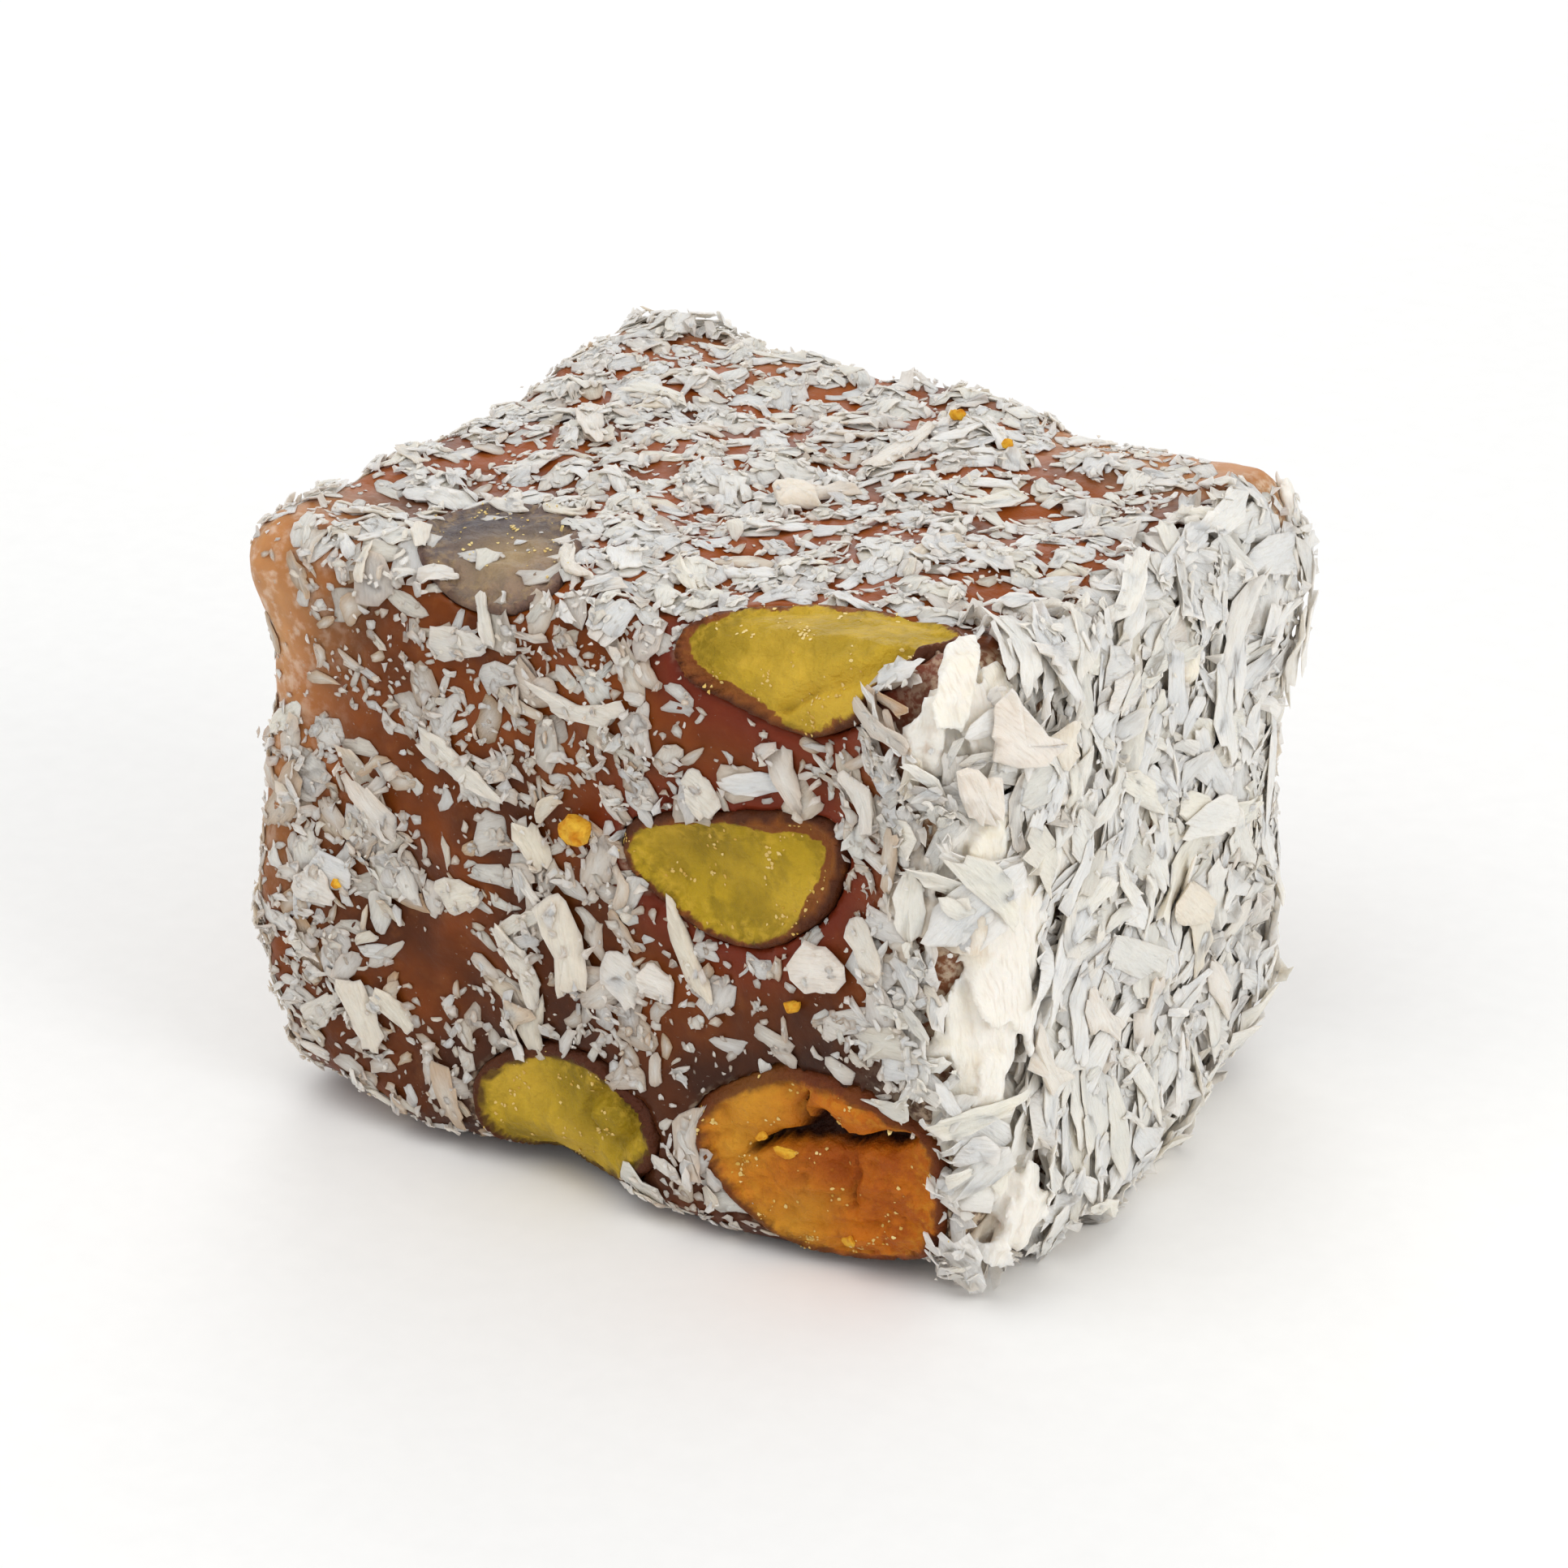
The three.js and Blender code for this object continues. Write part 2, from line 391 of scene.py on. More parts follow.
# %% How far the jelly is from its kernels
KERNEL_REACH_MM = 12
OUT_OF_REACH_MM = 1e9
kernel_tree = {name: wrap_tree(nodes[name].data) for name in kernel_names}


def kernel_gap(points_mm, names):
    """How far each point is from the nearest of these kernels, in millimetres."""
    nearest = np.full(len(points_mm), OUT_OF_REACH_MM)
    for name in names:
        tree = kernel_tree[name]
        found = [tree.find_nearest(Vector(p) * MM, KERNEL_REACH_MM * MM)[3] for p in points_mm]
        away = np.array([OUT_OF_REACH_MM if d is None else d / MM for d in found])
        nearest = np.minimum(nearest, away)
    return nearest


jelly_gap = kernel_gap(jelly_points, kernel_names)
low_gap = kernel_gap(jelly_points, ["kernel_low_left", "kernel_low_right"])
red_gap = kernel_gap(jelly_points, ["kernel_ridge", "kernel_front"])
print(round(float((jelly_gap < 1).mean()) * 100), "% of the jelly lies within 1 mm of a kernel")

# %% Where light through the thin jelly is painted pale
PALE_SPOTS = [
    {"at": (-19.6, -14.5, 28.5), "radius": 4.6, "much": 1.0},
    {"at": (-19.8, -15.0, 23.5), "radius": 4.0, "much": 0.9},
    {"at": (-19.8, -15.5, 18.5), "radius": 3.4, "much": 0.6},
    {"at": (-19.6, -15.5, 13.5), "radius": 3.0, "much": 0.35},
    {"at": (10.0, 15.5, 30.5), "radius": 4.6, "much": 0.9},
    {"at": (17.5, 14.5, 30.0), "radius": 4.5, "much": 0.85},
    {"at": (-8.0, 15.5, 31.0), "radius": 4.0, "much": 0.45},
    {"at": (17.6, -15.6, 24.3), "radius": 2.2, "much": 0.5},
    {"at": (-18.5, 14.0, 29.0), "radius": 4.5, "much": 0.6},
    {"at": (18.8, 15.0, 12.0), "radius": 4.0, "much": 0.4},
]


def spots(points_mm, places):
    """Round soft spots, each as strong as its place says, added up."""
    total = np.zeros(len(points_mm))
    for place in places:
        away = np.linalg.norm(points_mm - np.array(place["at"]), axis=1) / place["radius"]
        total += place["much"] * np.exp(-away * away)
    return total


# Painted light: where the jelly is thin, the light coming through it is painted as a pale toffee tone.
# Frost and starch gather there too.
pale = np.clip(spots(jelly_points, PALE_SPOTS), 0, 1)
give(jelly.data, "pale", pale)
print("pale on", round(float((pale > 0.3).mean()) * 100), "% of the jelly")

# %% Where the jelly is dusted or red, and where light and shade are painted on it
UPRIGHT_EDGE_X = 18.5
NEAR_FRONT_Y = -12
LEFT_EDGE_X = -18.0


def along_upright_edge(points_mm, width_mm):
    """1 on the upright edge between the front and the right face, and 0 well away from it."""
    across = (points_mm[:, 0] - UPRIGHT_EDGE_X) / width_mm
    return np.exp(-(across**2)) * (points_mm[:, 1] < NEAR_FRONT_Y)


to_front = -jelly_points[:, 1]
left_side = np.exp(-(((jelly_points[:, 0] - LEFT_EDGE_X) / 5.0) ** 2))
left_side *= smooth_share(jelly_points[:, 2], 8, 18)
left_side *= smooth_share(to_front, 8, 13)
pressed_face = smooth_share(jelly_normals[:, 0], 0.3, 0.8)
jelly_masks = {
    # painted shade: the jelly is painted dark brown round the low kernels
    "dark": 1 - smooth_share(low_gap, 0.5, 5.0),
    "red": (1 - smooth_share(red_gap, 0.3, 3.4)) * smooth_share(to_front, 12, 15),
    "dusted": np.maximum(pressed_face, along_upright_edge(jelly_points, 2.6)),
    # painted light: the top face and the left side of the jelly are made lighter and more orange, as lit
    "amber": np.maximum(smooth_share(jelly_normals[:, 2], 0.4, 0.9), 0.8 * left_side),
}
for name, mask in jelly_masks.items():
    give(jelly.data, name, mask)
    print(name, "on", round(float((mask > 0.3).mean()) * 100), "% of the jelly")

# %% [markdown]
# ## The look of the jelly
#
# Starch jelly lets light in for a millimetre or two and gives it back redder, which is what subsurface
# scattering does. Over a brown that drifts from dark to caramel and honey, each mask lays its own tint.
# Among them are painted light on the top, on the left side and at the thin edges, and painted shade round
# the low kernels. Loose starch shows as a frost where the jelly is pale and as white specks everywhere,
# and it makes the sheen uneven.

# %% Jelly material
DARK_CARAMEL = colour(80, 37, 10)
CARAMEL = colour(126, 61, 15)
HONEY = colour(150, 90, 44)
PAINTED_LIGHT_ORANGE = colour(152, 74, 18)
TOFFEE = colour(204, 148, 96)
RED_BROWN = colour(120, 40, 26)
DEEP_SHADE = colour(40, 24, 19)
COCONUT_POWDER = colour(218, 196, 170)
FROST = colour(228, 206, 186)
STARCH = colour(214, 198, 182)
book = Material("starch_jelly")
where = book.place()
cloud = book.noise(where, 0.16, 4.0)
streak = book.noise(where, 0.9, 3.0)
body_tone = book.blend(cloud.step(0.35, 0.68), DARK_CARAMEL, CARAMEL)
body_tone = book.blend(streak.step(0.5, 0.8) * 0.3, body_tone, HONEY)
# Painted light: the top face and the left side turn a lighter rust orange.
lit_share = book.attribute("amber") * cloud.step(0.25, 0.6)
body_tone = book.blend(lit_share * 0.75, body_tone, PAINTED_LIGHT_ORANGE)
# Painted light through the thin edges, pale like toffee.
body_tone = book.blend(book.attribute("pale") * (0.55 + 0.5 * streak), body_tone, TOFFEE)
body_tone = book.blend(book.attribute("red") * 0.7, body_tone, RED_BROWN)
# Painted shade round the low kernels.
body_tone = book.blend(book.attribute("dark") * 0.72, body_tone, DEEP_SHADE)
powder = book.attribute("dusted") * (0.12 + 0.8 * book.noise(where, 2.6, 5.0).step(0.4, 0.62))
body_tone = book.blend(powder.clamp(), body_tone, COCONUT_POWDER)
frost = book.attribute("pale") * book.noise(where, 1.3, 5.0).step(0.46, 0.7)
body_tone = book.blend(frost * 0.6, body_tone, FROST)
starch = book.noise(where, 3.6, 2.0).step(0.68, 0.78)
body_tone = book.blend(starch * (0.35 + 0.4 * book.attribute("pale")), body_tone, STARCH)
fine = book.noise(where, 1.8, 4.0)
relief = book.bump(fine + starch * 0.6, 0.09, 0.8)
gloss = 0.3 + fine * 0.2
jelly.data.materials.append(
    book.finish(
        {
            "Base Color": body_tone,
            "Roughness": gloss,
            "Normal": relief,
            "IOR": 1.42,
            "Subsurface Weight": 0.28,
            "Subsurface Radius": (1.0, 0.45, 0.2),
            "Subsurface Scale": 1.6 * MM,
            "Specular IOR Level": 0.2,
        }
    )
)
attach(jelly, "root")
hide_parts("jelly")
print("the jelly's material has", len(book.tree.nodes), "nodes")

# %% [markdown]
# ## The kernels
#
# A cut pistachio shows smooth, dense flesh, yellow-green to gold, with a thin red-brown skin as a line
# all round it. The jelly clings to the skin, so the fine mesh of each kernel is grown sideways by the
# width of the CAD gap. The cut face itself stays where the knife left it. One number at each vertex says
# how far that vertex is from the jelly, which is what tells the material where the skin runs.

# %% Looks of each kernel
OUTWARD = {
    "kernel_ridge": (0.0, -0.8, 0.6),
    "kernel_front": (0, -1, 0),
    "kernel_low_left": (0, -1, 0),
    "kernel_low_right": (0, -1, 0),
    "kernel_top": (0, -0.25, 1),
    "kernel_back_long": (0, 1, 0),
    "kernel_back_low": (0, 1, 0),
    "kernel_back_high": (0, 1, 0),
    "kernel_left_low": (-1, 0, 0),
    "kernel_left_high": (-1, 0, 0),
}


def outward(name):
    """The unit direction in which a kernel's cut face looks."""
    direction = np.array(OUTWARD[name], float)
    return direction / np.linalg.norm(direction)


GREEN = {"flesh": colour(184, 152, 28), "deep": colour(134, 110, 8), "warm": colour(212, 174, 58)}
GOLD = {"flesh": colour(200, 112, 14), "deep": colour(156, 72, 8), "warm": colour(204, 142, 38)}
VEILED = {"flesh": colour(144, 120, 106), "deep": colour(84, 77, 80), "warm": colour(178, 152, 112)}
SKIN = colour(120, 48, 26)
SKIN_EDGE_AND_SHADE = colour(62, 26, 14)
KERNEL_LOOKS = {"kernel_green": GREEN, "kernel_gold": GOLD, "kernel_skin": VEILED}
KERNEL_VOXEL_MM = 0.2
slot_of = {entry["node"]: entry["material_slot"] for entry in frame["record"]["subparts"]}
print({name: slot_of[name] for name in kernel_names})

# %% [markdown]
# ## Relief of a cut face
#
# A blade doesn't leave a nut quite flat. The two halves of a kernel part along a seam, roasted flesh
# breaks into lobes, and a crack may run across. Each shown kernel has its own relief, made of soft humps
# and of grooves along a broken line. The kernels out of sight get a wandering seam by chance.


# %% Humps and grooves
def face_plane(name):
    """The two axes that a kernel's cut face spans: X and Z, Y and Z on the left, X and Y on top."""
    if name == "kernel_top":
        return [0, 1]
    if name.startswith("kernel_left"):
        return [1, 2]
    return [0, 2]


def hump(q, across, up, wide, high):
    """A soft hump, 1 at its middle, on the plane of a cut face."""
    return np.exp(-(((q[:, 0] - across) / wide) ** 2) - ((q[:, 1] - up) / high) ** 2)


def groove(q, path, width):
    """How near each point is to a broken line, 1 on it. The path also gives its share of width."""
    near = np.zeros(len(q))
    for (a0, b0, w0), (a1, b1, w1) in zip(path, path[1:]):
        run = np.array([a1 - a0, b1 - b0])
        t = np.clip(((q[:, 0] - a0) * run[0] + (q[:, 1] - b0) * run[1]) / (run @ run), 0, 1)
        away = np.hypot(q[:, 0] - a0 - t * run[0], q[:, 1] - b0 - t * run[1])
        near = np.maximum(near, np.exp(-((away / (width * (w0 + t * (w1 - w0)))) ** 2)))
    return near


# %% Relief of each shown kernel
def ridge_relief(q):
    """The two halves of the kernel part along a line that runs up to the right."""
    line = [(9.6, 27.6, 0.6), (11.6, 29.0, 1.0), (14.6, 30.6, 1.2), (16.2, 31.6, 0.8)]
    raised = 0.3 * hump(q, 12.6, 28.0, 1.8, 0.9)
    hollow = 0.25 * hump(q, 8.4, 29.8, 2.0, 0.7)
    return -0.5 * groove(q, line, 0.34) + raised - hollow


def low_right_relief(q):
    """Roasted flesh that broke into lobes, with an open split under the upper two."""
    split = [(8.2, 5.4, 0.4), (9.4, 6.3, 0.6), (10.7, 6.7, 0.9), (11.9, 7.5, 2.2), (12.9, 6.9, 1.0)]
    split += [(14.1, 7.5, 0.6), (15.3, 7.8, 1.3), (16.4, 8.3, 0.6)]
    crack = [(13.4, 6.4, 0.8), (13.7, 5.6, 1.0), (13.2, 4.6, 0.5), (13.5, 3.8, 0.3)]
    side_crack = [(10.9, 7.0, 0.8), (10.6, 8.2, 0.7), (11.2, 9.2, 0.4)]
    lobes = 0.55 * hump(q, 8.8, 7.8, 1.5, 1.1) + 0.6 * hump(q, 13.6, 8.8, 2.0, 0.9)
    lower = 0.35 * hump(q, 15.0, 5.2, 1.3, 1.2) + 0.4 * hump(q, 11.0, 4.2, 1.6, 1.3)
    cuts = -1.5 * groove(q, split, 0.42) - 0.5 * groove(q, crack, 0.2) - 0.6 * groove(q, side_crack, 0.24)
    flat = np.column_stack([q, q[:, 0] * 0])
    rough = 0.17 * waves(flat, 61, 1.3, 3) * (1 - 0.6 * smooth_share(q[:, 1], 6.8, 7.6))
    return cuts + lobes + lower + rough


def low_left_relief(q):
    """A round lump beside a shallow hollow."""
    away = np.hypot((q[:, 0] - 0.7) / 1.25, (q[:, 1] - 5.0) / 1.0)
    lump = 0.6 * (1 - smooth_share(away, 0.55, 1.0)) - 0.3 * np.exp(-(((away - 1.15) / 0.15) ** 2))
    return lump - 0.3 * hump(q, -4.2, 4.6, 1.4, 1.1)


def front_relief(q):
    """A shallow hollow at the middle, and a swelling above it on the right."""
    return -0.4 * hump(q, 6.2, 18.8, 2.6, 1.6) + 0.25 * hump(q, 9.6, 20.8, 1.6, 1.4)


def veiled_relief(q):
    """This one was split and not cut, and keeps its skin, so nothing is carved."""
    return np.zeros(len(q))


# %% Relief by chance for the others
def seam_relief(q, seed):
    """The seam between the two halves of a nut, which wanders across the cut, and a hollow beside it."""
    draw = np.random.default_rng(seed)
    middle = (q.min(axis=0) + q.max(axis=0)) / 2
    half = np.ptp(q, axis=0) / 2
    way = half * (1.0 if half[0] > half[1] else -1.0)
    path = []
    for along in np.linspace(-0.7, 0.6, 6):
        a, b = middle + along * way * np.array([1.0, 0.55]) + draw.normal(size=2) * 0.28
        path.append((a, b, draw.uniform(0.5, 1.5)))
    lobe_at = middle + draw.uniform(-0.4, 0.4, 2) * half
    hollow_at = middle + draw.uniform(-0.4, 0.4, 2) * half
    lobe = 0.4 * hump(q, *lobe_at, 1.5, 1.2)
    hollow = 0.35 * hump(q, *hollow_at, 1.4, 1.6)
    return -0.42 * groove(q, path, 0.3) + lobe - hollow


RELIEF = {
    "kernel_ridge": ridge_relief,
    "kernel_low_right": low_right_relief,
    "kernel_low_left": low_left_relief,
    "kernel_front": front_relief,
    "kernel_top": veiled_relief,
}
print(len(RELIEF), "kernels have a relief of their own")

# %% [markdown]
# ## Tints of a cut face
#
# No two kernels have the same colour, and each one shades from green to gold over its own width. A few
# soft spots say where a kernel is warmer or deeper: across, up, radius and how much. Kernels without
# spots of their own get them by chance. The skin is widest on the side where the knife met the kernel at
# a slant.

# %% Warm and deep spots
WARM_SPOTS = {
    "kernel_ridge": [(8.8, 30.2, 2.2, 0.5), (13.2, 28.8, 2.2, 0.9), (10.2, 28.0, 1.8, 0.5)],
    "kernel_front": [(3.6, 20.0, 1.6, 0.3), (10.4, 18.0, 1.8, 0.5), (7.2, 19.0, 1.4, 0.3)],
    "kernel_low_left": [(-4.8, 5.0, 1.8, 0.75), (-2.0, 2.6, 1.8, 0.6)],
    "kernel_low_right": [
        (8.4, 8.2, 2.2, 0.9),
        (7.4, 5.4, 1.4, 0.8),
        (10.0, 1.6, 2.2, 0.9),
        (11.5, 3.6, 1.2, 0.4),
    ],
    "kernel_top": [(-6.4, -12.8, 2.0, 0.8)],
}
DEEP_SPOTS = {
    "kernel_ridge": [(5.0, 29.8, 1.5, 0.8)],
    "kernel_front": [(6.4, 21.0, 2.2, 0.4), (4.4, 19.8, 1.6, 0.6)],
    "kernel_low_left": [(1.8, 6.2, 1.8, 0.8), (-1.8, 6.2, 1.6, 0.4)],
    "kernel_low_right": [(14.4, 5.0, 2.2, 0.5), (12.4, 6.4, 1.2, 0.5)],
    "kernel_top": [(-9.6, -10.6, 3.0, 1.0), (-6.0, -10.0, 1.6, 0.6)],
}
# The low kernels sit sunk: their skin band is narrower, and their dark edge reaches further as painted
# shade.
SUNK_MM = {"kernel_low_left": 0.2, "kernel_low_right": 0.13}
SKIN_SIDE = {
    "kernel_ridge": (-0.8, -0.6),
    "kernel_front": (1.0, 0.5),
    "kernel_low_left": (-0.4, 0.9),
    "kernel_low_right": (0.2, -1.0),
}


def tint(q, places, seed):
    """How warm or deep each point is, 0 to 1."""
    if places is None:
        draw = np.random.default_rng(seed)
        picks = q[draw.integers(0, len(q), 3)]
        places = [(a, b, draw.uniform(1.2, 2.4), draw.uniform(0.5, 0.9)) for a, b in picks]
    total = np.zeros(len(q))
    for across, up, radius, much in places:
        total += much * hump(q, across, up, radius, radius)
    return np.clip(total, 0, 1)


# %% Skin round a cut face
CAD_GAP_MM = 0.3
jelly_cad_tree = wrap_tree(nodes["jelly"].data)


def give_skin(mesh, name, p, q, gap, shown, seed):
    """Stores where the skin runs, its dark edge, which is widened as painted shade where a kernel is sunk,
    and the pale band beside it. gap is in millimetres.
    """
    from_middle = q - q[shown].mean(axis=0)
    from_middle /= np.linalg.norm(from_middle, axis=1)[:, None]
    skin_side = np.clip(from_middle @ np.array(SKIN_SIDE.get(name, (0.6, 0.4))), 0, 1)
    skin_width = -0.08 + 0.6 * skin_side**3 + 0.12 * waves(p, seed + 2, 2.6, 2)
    if name in SUNK_MM:
        skin_width *= 0.3
    sunk = CAD_GAP_MM + SUNK_MM.get(name, 0.0) + 0.08 * waves(p, seed + 4, 1.2, 2)
    band_end = gap + 0.3 * waves(p, seed + 3, 1.8, 2)
    give(mesh, "rim", 1 - smooth_share(gap - 0.32 - np.clip(skin_width, 0.0, 0.9), 0.0, 0.22))
    # The dark edge of skin at the jelly, wider as painted shade round the sunk kernels.
    give(mesh, "edge", 1 - smooth_share(gap - sunk, 0.02, 0.16))
    give(mesh, "halo", smooth_share(gap, CAD_GAP_MM, 0.5) * (1 - smooth_share(band_end, 0.7, 1.7)))


# %% One kernel
SIDE_GROWTH_MM = 0.34
KEPT_DEPTH_MM = 3.4
ABOVE_PLATE_MM = 0.02


def cut_away(mesh, unseen):
    """Deletes the points that lie deep in the jelly."""
    bare = bmesh.new()
    bare.from_mesh(mesh)
    bare.verts.ensure_lookup_table()
    bmesh.ops.delete(bare, geom=[bare.verts[i] for i in np.nonzero(unseen)[0]], context="VERTS")
    bare.to_mesh(mesh)
    bare.free()
    mesh.shade_smooth()


def build_kernel(name, seed):
    """Grows a kernel into its gap, carves its cut face, stores its masks and drops its hidden depth."""
    piece = refined_copy(name, name + "_cut", KERNEL_VOXEL_MM, 3)
    mesh = piece.data
    p = points_of(mesh) / MM
    n = normals_of(mesh)
    gap = np.array([jelly_cad_tree.find_nearest(Vector(q) * MM)[3] / MM for q in p])
    out = outward(name)
    faces_out = smooth_share(n @ out, 0.35, 0.75) * smooth_share(gap, CAD_GAP_MM, 0.5)
    p += n * (SIDE_GROWTH_MM * (1 - smooth_share(gap, 0.35, 0.6)))[:, None]
    q = p[:, face_plane(name)]
    uneven = 0.12 * waves(p, seed, 3.4) + 0.055 * waves(p, seed + 1, 1.1)
    carve = RELIEF[name](q) if name in RELIEF else seam_relief(q, seed)
    p += out * ((uneven + carve - 0.05) * faces_out)[:, None]
    p[:, 2] = np.maximum(p[:, 2], ABOVE_PLATE_MM)
    move_points(mesh, p * MM)
    give_skin(mesh, name, p, q, gap, faces_out > 0.5, seed)
    give(mesh, "warm", tint(q, WARM_SPOTS.get(name), seed + 5))
    give(mesh, "deep", tint(q, DEEP_SPOTS.get(name), seed + 6))
    # Painted shade: where the relief is carved deepest, in splits and hollows, the flesh is marked to be
    # painted dark.
    give(mesh, "split", smooth_share(-carve * faces_out, 0.45, 1.0))
    depth = p @ out
    cut_away(mesh, depth <= depth.max() - KEPT_DEPTH_MM)
    return piece


# %% [markdown]
# ## Cut nut flesh
#
# The flesh is dense and a little waxy, so it lets in less light than the jelly. Its colour goes from deep
# to plain to warm in clouds of several sizes, then comes the skin with a ragged border. Last come the
# dark line of skin where the kernel sits in the jelly, widened as painted shade round the sunk low
# kernels, and a painted shade in the deepest splits and hollows. The veiled kernel shows hardly any
# border, because jelly covers it.

# %% Kernel material
SKIN_SHARE = {"kernel_green": 0.85, "kernel_gold": 0.5, "kernel_skin": 0.1}
SHADE_IN_SPLIT = colour(46, 18, 6)
# Painted shade in the deepest splits and hollows of a cut face.


def kernel_material(slot, look, skin):
    book = Material(slot + "_flesh")
    where = book.place()
    cloud = book.noise(where, 0.32, 3.0)
    grain = book.noise(where, 2.6, 4.0)
    tone = book.blend(cloud.step(0.3, 0.6), look["deep"], look["flesh"])
    tone = book.blend(book.noise(where, 0.5, 2.0).step(0.55, 0.78) * 0.6, tone, look["warm"])
    mottle = book.noise(where, 0.95, 4.0)
    tone = book.blend(mottle.step(0.46, 0.62) * 0.6, tone, look["deep"])
    tone = book.blend(book.attribute("deep"), tone, look["deep"])
    tone = book.blend(book.attribute("warm"), tone, look["warm"])
    tone = book.blend(book.attribute("halo") * grain.step(0.42, 0.62) * 0.45, tone, look["warm"])
    tone = book.blend(grain.step(0.56, 0.78) * 0.25, tone, look["warm"])
    ragged = (book.attribute("rim") + (grain - 0.5) * 1.3).step(0.4, 0.75)
    tone = book.blend(ragged * skin, tone, SKIN)
    # Dark skin line at the jelly, and painted shade round the sunk kernels.
    tone = book.blend(book.attribute("edge") * (0.4 + skin * 0.5), tone, SKIN_EDGE_AND_SHADE)
    # painted shade in the splits
    tone = book.blend(book.attribute("split").clamp(), tone, SHADE_IN_SPLIT)
    return book.finish(
        {
            "Base Color": tone,
            "Roughness": 0.42 + grain * 0.25,
            "Normal": book.bump(grain + mottle * 0.9, 0.24, 0.9),
            "Specular IOR Level": 0.2,
            "Subsurface Weight": 0.2,
            "Subsurface Radius": (1.0, 0.7, 0.25),
            "Subsurface Scale": 0.9 * MM,
        }
    )


# %% Build the kernels
flesh = {slot: kernel_material(slot, look, SKIN_SHARE[slot]) for slot, look in KERNEL_LOOKS.items()}
kernel_pieces = {}
for number, name in enumerate(kernel_names):
    piece = build_kernel(name, 40 + 3 * number)
    piece.data.materials.append(flesh[slot_of[name]])
    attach(piece, "root")
    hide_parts(name)
    kernel_pieces[name] = piece
print("the kernels have", sum(triangles_of(k.data) for k in kernel_pieces.values()), "triangles")

# %% [markdown]
# ## Where coconut can lie
#
# Real flakes don't float at a fixed distance: each one rests on the jelly or on flakes that fell before
# it. So the ground is a cloud of points on the jelly and on the cut nut faces, and each point remembers
# how high the coat has grown there. A flake looks at the points under it, lies on them at the slope that
# they make, lets its rim sag on to what is below, and then raises the coat by its own thickness.

# %% The ground
FREE_OF_KERNEL_MM = 0.45
ON_KERNEL = -1.0
bare_jelly = jelly_gap > FREE_OF_KERNEL_MM
ground_points = [jelly_points[bare_jelly]]
ground_normals = [normals_of(jelly.data)[bare_jelly]]
ground_gap = [jelly_gap[bare_jelly]]
for name, piece in kernel_pieces.items():
    p = points_of(piece.data) / MM
    n = normals_of(piece.data)
    shown = n @ outward(name) > 0.6
    ground_points.append(p[shown])
    ground_normals.append(n[shown])
    ground_gap.append(np.full(int(shown.sum()), ON_KERNEL))
ground_points = np.concatenate(ground_points)
ground_normals = np.concatenate(ground_normals)
ground_gap = np.concatenate(ground_gap)
on_kernel = ground_gap < 0
coat = np.zeros(len(ground_points))
ground_tree = point_tree(ground_points)
print("the ground has", len(ground_points), "points, of them", int(on_kernel.sum()), "on kernels")

# %% [markdown]
# ## How thick the coat is
#
# The coat is thickest on the right face, which was pressed in the coconut, and along the upright edge
# beside it. On the front it leaves brown patches, most of all near the left edge and round the low
# kernels. The places below say where the coat is thin, and the rest follows from which way the jelly
# faces.

